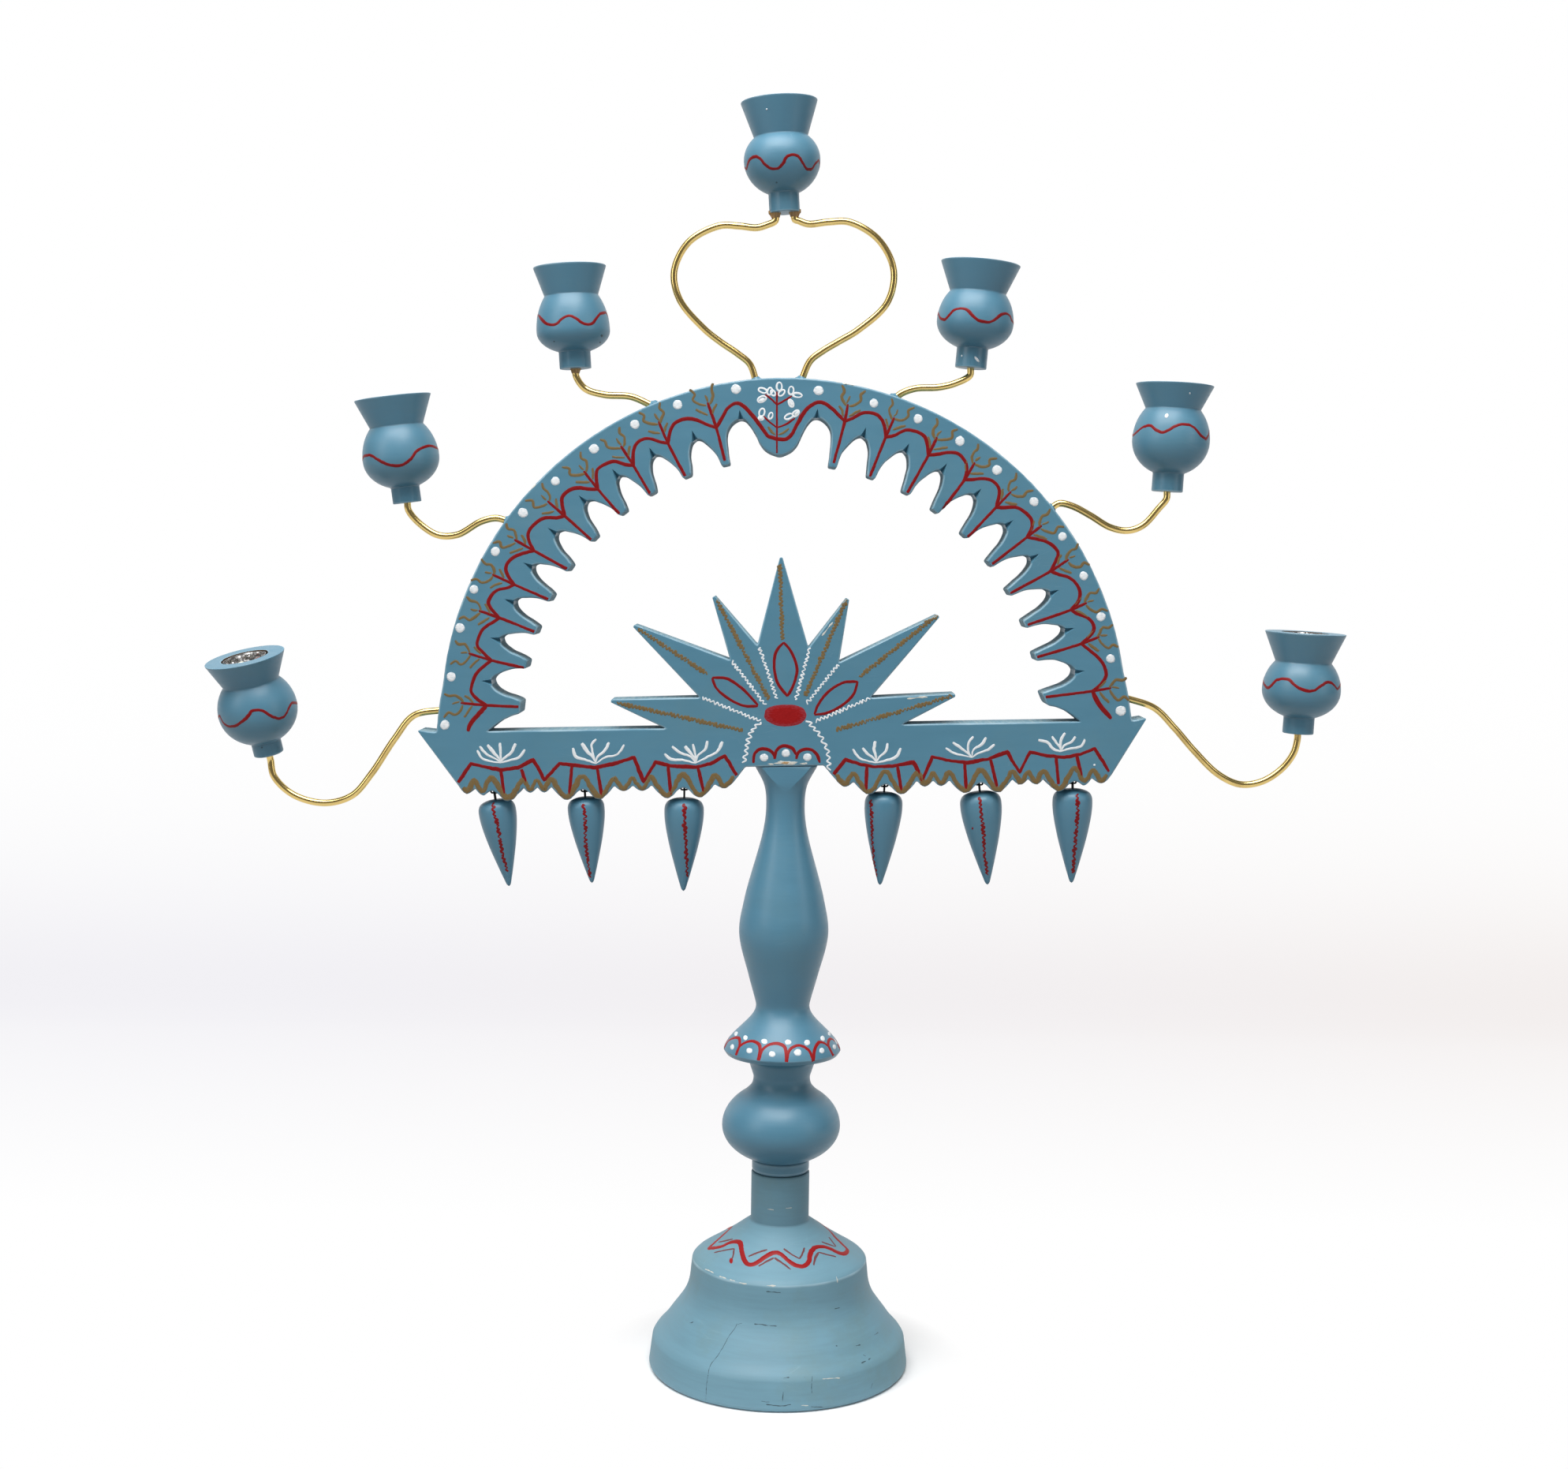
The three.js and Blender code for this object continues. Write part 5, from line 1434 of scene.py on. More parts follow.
def makeDrop(number):
    diameter, length, lean, hang = hooks["drops"][number - 1]
    place = dropPlace(number)
    top, tall = -hang - hooks["clear"], length - hooks["clear"]
    outline = smoothLine([(r * diameter / 2, top - z * tall) for r, z in dropProfile], 0.7)
    points, faces, marks = turned([(Vector((max(p.x, 0), p.y)), 0) for p in outline], hooks["sides"], place)
    body = f"drop_{number}"
    piece = makePiece(f"drop_turned_{number}", points, faces, paints["drop"], body, [body],
                      marks=marks)
    radius, steps = hooks["eyeRadius"], 14
    turns = [math.pi * (1 - i / steps) for i in range(steps + 1)]
    bow = [Vector((0, radius * math.cos(turn), radius * math.sin(turn))) for turn in turns]
    foot = -hang - hooks["inDrop"]
    line = [Vector((0, -radius, foot)), *bow, Vector((0, radius, foot))]
    points, faces = tube([place @ p for p in line], hooks["wire"] / 2, hooks["wireSides"])
    makePiece(f"hook_eye_{number}", points, faces, metals["hook"], body, [f"eye_{number}"])
    return piece


dropNumbers = range(1, len(hooks["drops"]) + 1)
for number in dropNumbers:
    makeStaple(number)
dropPieces = {number: makeDrop(number) for number in dropNumbers}

dowel = frame["nodes"]["stem_dowel"]
dowel.data.materials.clear()
dowel.data.materials.append(woods["plain"])
print("hooks and drops hung")


# Painted ornament of the board, traced in the photograph's pixels
boardFace = surfaceOf(boardPiece)
arch = {
    # the tip of the short line, the node on the wave and the tooth's tip, from the top down each side
    "teeth": {
        "left": [
            ((897, 510), (908, 542), (919, 584)), ((835, 534), (847, 562), (870, 606)),
            ((787, 565), (803, 590), (826, 629)), ((740, 597), (758, 620), (791, 658)),
            ((694, 635), (716, 654), (754, 688)), ((652, 684), (677, 698), (724, 724)),
            ((624, 728), (652, 741), (703, 763)), ((607, 774), (633, 783), (683, 803)),
            ((594, 828), (623, 837), (667, 847)), ((584, 891), (617, 894), (660, 896)),
        ],
        "right": [
            ((1075, 512), (1071, 534), (1057, 587)), ((1134, 529), (1123, 554), (1103, 604)),
            ((1188, 554), (1177, 577), (1149, 627)), ((1236, 586), (1223, 608), (1189, 653)),
            ((1282, 623), (1263, 643), (1225, 683)), ((1321, 666), (1302, 681), (1254, 718)),
            ((1355, 709), (1332, 724), (1281, 752)), ((1378, 764), (1358, 773), (1303, 792)),
            ((1394, 807), (1371, 816), (1315, 833)), ((1409, 872), (1385, 876), (1323, 884)),
        ],
    },
    "tails": {
        "left": [(617, 894), (606, 906), (597, 917), (593, 927)],
        "right": [(1385, 876), (1393, 892), (1409, 911)],
    },
    "tab": [
        (908, 542), (915, 531), (923, 517), (935, 511), (945, 517), (955, 528), (965, 541), (973, 552),
        (980, 555), (995, 557), (1002, 553), (1010, 539), (1020, 522), (1028, 514), (1037, 510),
        (1045, 511), (1055, 518), (1065, 528), (1071, 534),
    ],
    "dots": [
        (933, 493), (859, 513), (805, 538), (753, 569), (704, 610), (663, 650), (628, 699), (601, 747),
        (583, 796), (572, 858), (564, 919), (1038, 495), (1108, 511), (1164, 531), (1217, 559),
        (1264, 596), (1311, 636), (1347, 680), (1374, 730), (1396, 782), (1408, 835), (1421, 901),
    ],
    "dotRadius": 6.2, "dotRise": 0.14, "line": 1.5, "wave": 1.8,
    # the wave between two nodes: shares of the way down, and the swing outwards in millimetres
    "swing": [(0.14, 1.9), (0.34, 5.4), (0.55, 6.9), (0.74, 6.6), (0.87, 4.2)],
    # a twig in millimetres out from the short line and up from its tip: the arms, the leaf below each, a bud
    "twig": 1.45, "reach": (6.2, -3.6), "arm": [(1, 7.0), (0.72, 4.9), (0.86, 2.6), (0.5, 0.2), (0.1, -0.9)],
    "leaf": [(0.95, -1.6), (0.62, -3.3), (0.2, -5.2)], "bud": [(0.3, 3.4), (0.1, 1.6), (-0.3, 0.4)],
}


def archFrame(spot):
    # degrees off the top and radius of a point on the board's face
    own = boardPlace.inverted() @ spot
    above = own.z - board["archCentre"]
    return math.degrees(math.atan2(own.x, above)), math.hypot(own.x, above)


def onFace(points):
    # (across, up) points of the board, on its front face
    facing = boardPlace.to_3x3() @ Vector((0, -1, 0))
    return [(boardPlace @ Vector((p[0], -board["half"], p[1])), facing) for p in points]


def onArchFace(points):
    return onFace([(p.x, p.z) for p in (archPoint(degrees, radius) for degrees, radius in points)])


def paintArch(red, ochre, white):
    for side, teeth in arch["teeth"].items():
        out = -1 if side == "left" else 1
        nodes = []
        for tip, node, end in teeth:
            stroke(red, traced(boardFace, [tip, node, end], 3), arch["line"], ends=(0.5, 0.8))
            nodes.append(archFrame(throwPixel(boardFace, *node)[0]))
            paintTwig(ochre, archFrame(throwPixel(boardFace, *tip)[0]), out)
        for (a, upper), (b, lower) in zip(nodes, nodes[1:]):
            bends = [(a, upper)]
            for share, swing in arch["swing"]:
                base = upper + (lower - upper) * share
                turn = a + (b - a) * (share + dice.uniform(-0.02, 0.02))
                bends.append((turn, base + swing + dice.uniform(-0.3, 0.3)))
            bends.append((b, lower))
            spots = [archPoint(*bend) for bend in bends]
            stroke(red, onFace([(p.x, p.z) for p in smoothLine(spots, 0.7)]), arch["wave"], ends=(0.9, 0.9))
        stroke(red, traced(boardFace, arch["tails"][side], 3), arch["wave"] * 1.4, ends=(0.6, 0.5))
    stroke(red, traced(boardFace, arch["tab"], 3), arch["wave"] * 1.1)
    for x, y in arch["dots"]:
        size = arch["dotRadius"] * dice.uniform(0.92, 1.08)
        spot = (x, y, size * dice.uniform(0.92, 1.05), size, dice.uniform(-30, 30))
        dabAt(white, boardFace, spot, arch["dotRise"])


def paintTwig(ochre, tip, out):
    # two wavy arms that meet under the short line's tip, and two short strokes below them
    degrees, radius = tip
    perMm = math.degrees(1 / radius)

    def place(points):
        jitter = [(s + dice.uniform(-0.35, 0.35), r + dice.uniform(-0.3, 0.3)) for s, r in points]
        return onArchFace([(degrees + s * perMm, radius + r) for s, r in smoothLine(jitter, 0.6)])

    for reach in arch["reach"]:
        arm = [(share * reach * out, up) for share, up in arch["arm"]]
        stroke(ochre, place(arm), arch["twig"], ends=(0.6, 0.6), uneven=0.25)
        leaf = [(share * reach * out, up) for share, up in arch["leaf"]]
        leaf[0] = (leaf[0][0], leaf[0][1] + 0.25 * dice.uniform(-1, 1))
        stroke(ochre, place(leaf), arch["twig"] * 0.95, ends=(0.7, 0.5), uneven=0.25)
    bud = [(share * out, up) for share, up in arch["bud"]]
    stroke(ochre, place(bud), arch["twig"] * 0.8, ends=(0.5, 0.5), uneven=0.3)


# The flower on the round tab at the top of the arch
tab = {
    "line": 1.0, "leafLine": 1.3, "petalLine": 0.85,
    "stem": [(985, 496), (985, 577)],
    "branches": [
        [(985, 513), (978, 506), (970, 500)], [(985, 513), (994, 508), (1004, 502)],
        [(985, 542), (976, 535), (967, 527)], [(985, 542), (996, 538), (1008, 530)],
    ],
    "leaves": [[(974, 541), (978, 547), (983, 551)], [(1000, 543), (994, 548), (987, 551)]],
    # loops of white: centre, half width, half height, lean
    "petals": [
        (988, 490, 3.4, 5.2, 0), (991, 498, 3, 4.8, 45), (980, 498, 2.6, 4, -30), (967, 495, 5.4, 3, 20),
        (976, 496, 3, 4.6, 15), (966, 506, 5.8, 3.4, -25), (1003, 495, 3.2, 5.2, 5),
        (1011, 501, 5.8, 2.8, 5), (1003, 511, 2.8, 5, -25), (966, 523, 3.4, 5.4, 15),
        (977, 527, 2.5, 4.2, 20), (965, 530, 3.4, 2.6, 0), (1000, 528, 5.6, 3, -25),
        (1009, 524, 4.8, 3, -40),
    ],
    "filled": [
        (966, 507, 4.6, 2.6, -25), (965, 530, 3, 2.4, 0), (1003, 511, 2.2, 4.2, -25),
        (1010, 524, 3.6, 2, -40),
    ],
}


def paintTab(red, ochre, white):
    stroke(red, traced(boardFace, tab["stem"], 3), tab["line"], ends=(0.5, 0.8))
    for branch in tab["branches"]:
        stroke(red, traced(boardFace, branch, 2), tab["line"], ends=(0.8, 0.5))
    for leaf in tab["leaves"]:
        stroke(ochre, traced(boardFace, leaf, 2), tab["leafLine"])
    for x, y, across, up, lean in tab["petals"]:
        loop = ellipse((x, y), across, up, lean, 16)
        stroke(white, throwPixels(boardFace, loop + loop[:1]), tab["petalLine"], closed=True, uneven=0.3)
    for spot in tab["filled"]:
        dabAt(white, boardFace, spot)


# The star: red eye and almonds, white and ochre zigzags along the rays
star = {
    "eye": (995.7, 906.8, 28.2, 14.6),
    "almonds": [
        [(993.5, 814), (1003, 826), (1010.5, 848), (1006, 868), (998.5, 882.5)],
        [(993.5, 814), (984, 826), (981.5, 845), (986, 866), (998.5, 882.5)],
        [(903, 859), (921, 860), (940, 872), (953, 885), (961, 894)],
        [(903, 859), (908, 872), (923, 885), (943, 894.5), (961, 895)],
        [(1087.5, 864), (1070, 865), (1050, 877), (1037.5, 893), (1032.5, 905.5)],
        [(1087.5, 864), (1081.5, 881), (1063, 897), (1047, 904), (1032.5, 906)],
    ],
    "white": [
        ((889.5, 884), (964, 914)), ((928, 838.4), (970, 893)), ((962.5, 820.4), (985, 886)),
        ((1026, 822), (1009, 888)), ((1063.4, 842), (1023, 891.4)), ((1103, 885.4), (1034, 914.5)),
    ],
    "falls": [
        [(966, 915), (957, 922), (950, 934), (946, 952), (943, 967)],
        [(1024, 914), (1034, 925), (1044, 940), (1050, 957), (1051, 976)],
    ],
    "ochre": [
        ((783, 891), (941.4, 926)), ((809, 797), (896.4, 854)), ((909, 761), (974.3, 886)),
        ((988.8, 716), (992, 811)), ((1073, 761), (1020.8, 882)), ((1188, 780), (1089.7, 858)),
        ((1207, 882), (1061, 925)),
    ],
    "almondLine": 1.5, "whiteLine": 0.7, "ochreLine": 1.15, "fallLine": 0.85,
    # pitch and swing of the zigzags in pixels, and the share of the swing at the tip
    "whiteWay": (5.4, 1.9), "ochreWay": (4.6, 2.1, 0.9), "fallWay": (4.6, 2.5), "eyePower": 2.2,
}


def paintStar(red, vivid, ochre, white):
    dabAt(vivid, boardFace, star["eye"], ragged=0.06, sides=48, power=star["eyePower"])
    for side in star["almonds"]:
        stroke(red, traced(boardFace, side, 3), star["almondLine"], ends=(0.6, 0.6))
    for start, end in star["white"]:
        hits = throwPixels(boardFace, zigzag(start, end, *star["whiteWay"]))
        stroke(white, hits, star["whiteLine"], ends=(1, 0.9), step=0.3, uneven=0.3)
    for start, end in star["ochre"]:
        hits = throwPixels(boardFace, zigzag(start, end, *star["ochreWay"]))
        stroke(ochre, hits, star["ochreLine"], ends=(0.8, 0.9), step=0.3, uneven=0.5)
    pitch, swing = star["fallWay"]
    for line in star["falls"]:
        wavy = []
        for k, here in enumerate(smoothLine(line, pitch)):
            side = swing if k % 2 else -swing
            wavy.append(here + Vector((side * dice.uniform(0.7, 1.2), dice.uniform(-0.6, 0.6))))
        stroke(white, traced(boardFace, wavy, 1.5), star["fallLine"], ends=(1, 0.7), step=0.3)


# The bar: red fence, white tufts, ochre wave along the scallops and three red arches over the stem
bar = {
    "fence": [
        [
            (581, 992), (597, 968), (615, 972), (635, 976), (657, 973), (676, 963), (684, 976),
            (690, 989), (709, 968), (729, 970), (754, 973), (779, 968), (804, 960), (810, 976),
            (816, 991), (831, 966), (851, 971), (882, 972.5), (901, 968), (919, 958), (927, 971),
            (935, 985),
        ],
        [
            (1053, 986), (1072, 963), (1092, 969), (1110, 972), (1133, 971), (1158, 966), (1164, 977),
            (1169, 990), (1182, 959), (1203, 964), (1227, 967), (1253, 962), (1277, 953), (1285, 967),
            (1293, 979), (1306, 953), (1327, 958), (1350, 960), (1370, 956), (1388, 949), (1397, 963),
            (1406, 978),
        ],
    ],
    "posts": [
        ((635, 976), (639, 1006)), ((661, 975), (667, 994)), ((725, 971), (722, 1007)),
        ((757, 972.5), (763, 1009)), ((847, 971), (850.5, 1007)), ((885, 973), (893, 1007)),
        ((1099, 972), (1098, 1002)), ((1138, 972), (1143, 1003)), ((1223, 967), (1225, 1000)),
        ((1256, 963), (1264, 997)), ((1339, 960), (1342, 994)), ((1365, 957), (1371, 983)),
    ],
    "fenceLine": 1.9, "postLine": 1.8,
    # tufts: the foot, then the strokes from their tips inwards
    "tufts": [
        ((635, 967), [
            [(605, 951), (611, 961), (622, 965)], [(608, 946), (617, 956), (630, 963)],
            [(618, 944), (626, 954), (632, 961)], [(634, 941.5), (634.4, 954), (635, 962)],
            [(653.6, 942.4), (648, 954), (639, 961)], [(665.6, 950), (658, 960), (645, 964)],
        ]),
        ((755.6, 968), [
            [(726.4, 948), (730, 959), (742, 963)], [(737.6, 942), (745, 953), (752, 960)],
            [(756, 937), (750.4, 943), (752.4, 958)], [(772, 941), (767, 951), (757, 960)],
            [(791.6, 944), (783, 956), (766, 960.5)],
        ]),
        ((882, 967.5), [
            [(842.4, 955.6), (850, 962), (866, 963.5)], [(852, 946), (862, 954), (876, 959.5)],
            [(868, 946), (876, 955), (880, 960)], [(878.4, 943), (881, 954), (882, 962)],
            [(897, 939), (894, 950), (885, 957.5)], [(916, 940), (910, 952), (896, 960)],
        ]),
        ((1111, 967), [
            [(1081, 949.5), (1090, 961), (1103.5, 965.5)], [(1093.5, 948), (1100, 955.5), (1107.5, 961)],
            [(1110, 939.5), (1108, 949), (1110.5, 959)], [(1125.5, 942), (1123, 952), (1114.5, 960)],
            [(1142, 948), (1136.5, 959), (1121, 964.5)],
        ]),
        ((1232, 960.5), [
            [(1199, 948), (1209, 954.5), (1223, 958)], [(1208, 941), (1218, 948), (1226.5, 954.5)],
            [(1234, 933.5), (1228, 942), (1228, 953)], [(1250, 934.5), (1245.5, 943), (1234.5, 950)],
            [(1261, 943.5), (1253, 950), (1239, 955.5)],
        ]),
        ((1345.5, 952.5), [
            [(1316.5, 938), (1328, 941), (1336.5, 950)], [(1333.5, 933.5), (1339, 941), (1344, 948)],
            [(1350.5, 929), (1345.5, 937), (1344.5, 948)], [(1363.5, 933.5), (1359, 940), (1349, 945.5)],
            [(1375.5, 937), (1371, 945.5), (1352, 950)],
        ]),
    ],
    "tuftLine": 1.75,
    "arches": [
        [(955, 967), (957, 955), (964, 949.5), (971.5, 949.5), (979, 953.5), (983, 961)],
        [(982, 962), (984.5, 951.5), (990, 946.5), (997, 945.6), (1005, 949), (1009.5, 957)],
        [(1009.5, 962), (1012, 954), (1020, 949.8), (1029, 950.5), (1036, 957), (1039.5, 967)],
    ],
    "archDots": [(968.6, 960.5), (996.3, 954.8), (1023.6, 959.8)],
    "archDotRadius": 5.6, "splash": (1387.6, 969.6, 1.7, 1.5), "archLine": 1.7,
    # the wave: width, first and last place across, gap above the edge, and its climb between two scallops
    "wave": 2.5, "waveFrom": 21.8, "waveTo": 139, "gap": 1.0, "climb": 3.6, "leastDepth": 1.5,
    # it arches over the hooks; near and around are half millimetres of edge that each step looks at
    "hookClimb": 1.4, "hookReach": 4, "step": 0.8, "near": 2, "around": 9,
}


def lowerEdgeHeights():
    # height of the board's lower edge at each half millimetre across, read from the sawn board
    heights = {}
    toBoard = boardPlace.inverted()
    for vertex in boardPiece.data.vertices:
        own = toBoard @ (vertex.co / mm)
        key = round(own.x * 2)
        if own.z < 3 and abs(own.y) < board["half"] - 0.5:
            heights[key] = min(own.z, heights.get(key, own.z))
    return heights


def paintBar(red, ochre, white):
    for fence in bar["fence"]:
        line = [spot for a, b in zip(fence, fence[1:]) for spot in smoothLine([a, b], 3)[:-1]] + fence[-1:]
        stroke(red, throwPixels(boardFace, line), bar["fenceLine"], ends=(0.8, 0.8), uneven=0.25)
    for start, end in bar["posts"]:
        stroke(red, traced(boardFace, [start, end], 3), bar["postLine"], ends=(0.8, 0.8))
    for base, tips in bar["tufts"]:
        for line in tips:
            stroke(white, traced(boardFace, line + [base], 2), bar["tuftLine"] * dice.uniform(0.75, 1.2),
                   ends=(0.55, 0.5), uneven=0.25, taper=0.5)
    heights = lowerEdgeHeights()
    hookAt = [(boardPlace.inverted() @ crownOf(number)).x for number in dropNumbers]

    def edgeAround(middle, reach):
        found = [heights.get(middle + k) for k in range(-reach, reach + 1)]
        return [height for height in found if height is not None]

    for side in (-1, 1):
        wave = []
        across = bar["waveFrom"]
        while across < bar["waveTo"]:
            middle = round(side * across * 2)
            near, wide = edgeAround(middle, bar["near"]), edgeAround(middle, bar["around"])
            if near:
                # close to the edge at the tip of a scallop, well above it between two
                edge = sum(near) / len(near)
                climb = (edge - min(wide)) / max(max(wide) - min(wide), bar["leastDepth"])
                arched = sum(math.exp(-((side * across - hook) / bar["hookReach"]) ** 2) for hook in hookAt)
                wave.append((side * across,
                             edge + bar["gap"] + bar["climb"] * climb + bar["hookClimb"] * arched))
            across += bar["step"]
        stroke(ochre, onFace(wave), bar["wave"], ends=(0.6, 0.6), uneven=0.25)
    for line in bar["arches"]:
        stroke(red, traced(boardFace, line, 2), bar["archLine"])
    dabAt(white, boardFace, bar["splash"], 0.08, sides=12)
    for x, y in bar["archDots"]:
        dabAt(white, boardFace, (x, y, bar["archDotRadius"], 0.92 * bar["archDotRadius"]), 0.14)


def paintBoard():
    red, vivid, ochre, white = newBrush(), newBrush(), newBrush(), newBrush()
    paintArch(red, ochre, white)
    paintTab(red, ochre, white)
    paintStar(red, vivid, ochre, white)
    paintBar(red, ochre, white)
    finishBrush(vivid, "board_eye", paints["vivid"], "upper")
    finishBrush(ochre, "board_ochre", paints["ochre"], "upper")
    finishBrush(red, "board_red", paints["red"], "upper")
    finishBrush(white, "board_white", paints["white"], "upper")


paintBoard()
print("board painted")


# Turned pieces: each line is traced at the front and goes on round the back at the same pace
def roundTheBack(surface, place, hits, low, high, pitch):
    # points from the end of a front line round the back to its start, up and down between two heights
    first, last = polar(place, hits[0][0]), polar(place, hits[-1][0])
    way = (first[0] - last[0]) % 360
    middle = (low + high) / 2
    odd = (first[1] > last[1]) != (last[1] > middle)
    count = max(2, 2 * round(way / pitch / 2) + odd)
    line = [last]
    up = last[1] < middle
    for k in range(1, count):
        line.append((last[0] + way * k / count, high if up else low))
        up = not up
    line.append((last[0] + way, first[1]))
    return around(surface, place, smoothLine(line, 2.5))


skirtPaint = {
    # feet of the scallops, and the crest between each two
    "scallops": [
        [(919, 1327), (925, 1318), (936, 1315.5), (938, 1322), (933, 1337.5)],
        [(933, 1337.5), (938, 1326), (953, 1319.5), (963, 1325), (961.5, 1344)],
        [(961.5, 1344), (968, 1329), (983, 1322.5), (994.5, 1327), (997, 1346)],
        [(997, 1346), (1001, 1331), (1012.5, 1325), (1025, 1331), (1031.5, 1345)],
        [(1031.5, 1345), (1033, 1330), (1039, 1321), (1048, 1324), (1056.5, 1338)],
        [(1056.5, 1338), (1050, 1322), (1053, 1316.5), (1059, 1320), (1064, 1328)],
    ],
    "dots": [
        (928.3, 1327, 2.6, 3.6, 15), (950, 1331.7, 4, 3.6, 0), (979, 1336.2, 4.6, 4, 0),
        (1011.3, 1334, 5, 4.6, 0), (1042, 1331.7, 3.4, 3.8, -15), (1057.8, 1327, 2.2, 3.4, -15),
        (933, 1310.3, 2.2, 3.2, 25), (945, 1315.5, 3, 3.4, 20), (969, 1320, 4.2, 3.5, 10),
        (999, 1321, 4.4, 3.6, 0), (1023.3, 1321.5, 4, 4, -20), (1043, 1316.2, 2.8, 3.8, -20),
        (1051.5, 1310.5, 1.8, 3, -25),
    ],
    "line": 1.7, "backCount": 6, "backHeights": (140.9, 146.3), "dotRise": 0.12,
    # a scallop at the back: its shoulder as a share of the width and a height, and how low its crest is
    "arcFoot": (0.12, 2.6), "crest": 0.7,
    # the dots there: above the feet and below the crests, half their width in degrees and half their height
    "dotAt": (1.8, 0.8), "dotSize": (3.2, 1.25),
}
domePaint = {
    "wave": [
        (899.6, 1581.5), (914.5, 1580), (923.6, 1575.5), (932.7, 1573.6), (938.5, 1575.5), (940, 1583.6),
        (942.7, 1594.5), (947.3, 1602), (954.5, 1602.7), (961.8, 1599), (971, 1592.7), (980, 1588.2),
        (987.3, 1588.2), (994.5, 1593.6), (1003.6, 1601), (1011, 1604.5), (1020, 1604.5), (1025.5, 1599),
        (1027.3, 1589), (1032.7, 1581.8), (1041.8, 1580), (1052.7, 1582.7), (1061.8, 1587.3),
        (1071, 1589), (1074.5, 1584.5), (1067.3, 1576.4), (1058.2, 1567.3), (1054.5, 1562.7),
    ],
    "start": [(927, 1556), (916, 1566), (906, 1575), (899.6, 1581.5)],
    "dashes": [
        [(911, 1574.5), (929, 1570.5)], [(1051, 1568.2), (1060, 1580)], [(1041.8, 1574.2), (1059, 1580)],
        [(993.6, 1582.7), (1003, 1589.5), (1013.6, 1595.5)],
        [(1013.6, 1595.5), (1017, 1590), (1020, 1581.5)], [(949, 1592.7), (960, 1588), (972.7, 1584)],
        [(905.5, 1587.6), (920, 1584.5), (930.5, 1582.7)], [(930.5, 1582.7), (930, 1590), (927, 1598)],
        [(961.8, 1605), (971, 1599.5), (981, 1594.5)], [(981.8, 1594.5), (992, 1601), (1002.7, 1609)],
        [(1031.8, 1603.6), (1033.5, 1595), (1037.8, 1587.3)],
        [(1038.2, 1587.3), (1048, 1590), (1060, 1593)],
    ],
    "blob": (926.9, 1598, 2.4, 4), "line": 2.5, "dash": 1.15,
    "back": (54.8, 61.5, 38),
}


def paintSkirt():
    red, white = newBrush(), newBrush()
    surface = surfaceOf(stemPiece)
    place = Matrix()
    front = [traced(surface, line, 1.5) for line in skirtPaint["scallops"]]
    for hits in front:
        stroke(red, hits, skirtPaint["line"], ends=(1, 1))
    for spot in skirtPaint["dots"]:
        dabAt(white, surface, spot, skirtPaint["dotRise"])
    left, right = polar(place, front[0][0][0])[0], polar(place, front[-1][-1][0])[0]
    part = ((left - right) % 360) / skirtPaint["backCount"]
    low, high = skirtPaint["backHeights"]
    (foot, up), crest = skirtPaint["arcFoot"], high - skirtPaint["crest"]
    inner, outer = skirtPaint["dotAt"]
    wide, tall = skirtPaint["dotSize"]
    turns = [i * math.pi / 9 for i in range(18)]
    for k in range(skirtPaint["backCount"]):
        at = right + part * k
        arc = [(at, low), (at + foot * part, low + up), (at + 0.5 * part, crest),
               (at + (1 - foot) * part, low + up), (at + part, low)]
        stroke(red, around(surface, place, smoothLine(arc, 1.5)), skirtPaint["line"], ends=(1, 1))
        for degrees, height in ((at + 0.5 * part, low + inner), (at, high - outer)):
            spot = [(degrees + wide * math.cos(t), height + tall * math.sin(t)) for t in turns]
            dab(white, surface, around(surface, place, spot), skirtPaint["dotRise"])
    finishBrush(red, "skirt_red", paints["vivid"], "upper")
    finishBrush(white, "skirt_white", paints["white"], "upper")


def paintDome():
    red, dark = newBrush(), newBrush()
    surface = surfaceOf(footPiece)
    front = traced(surface, domePaint["start"] + domePaint["wave"][1:], 2)
    for hits in (front, roundTheBack(surface, Matrix(), front, *domePaint["back"])):
        stroke(red, hits, domePaint["line"], ends=(1, 1), rise=0.1, uneven=0.2)
    for line in domePaint["dashes"]:
        stroke(dark, traced(surface, line, 2), domePaint["dash"], ends=(0.7, 0.6), uneven=0.3)
    dabAt(red, surface, domePaint["blob"], 0.12)
    finishBrush(red, "dome_red", paints["vivid"], "base")
    finishBrush(dark, "dome_dashes", paints["deepRed"], "base")


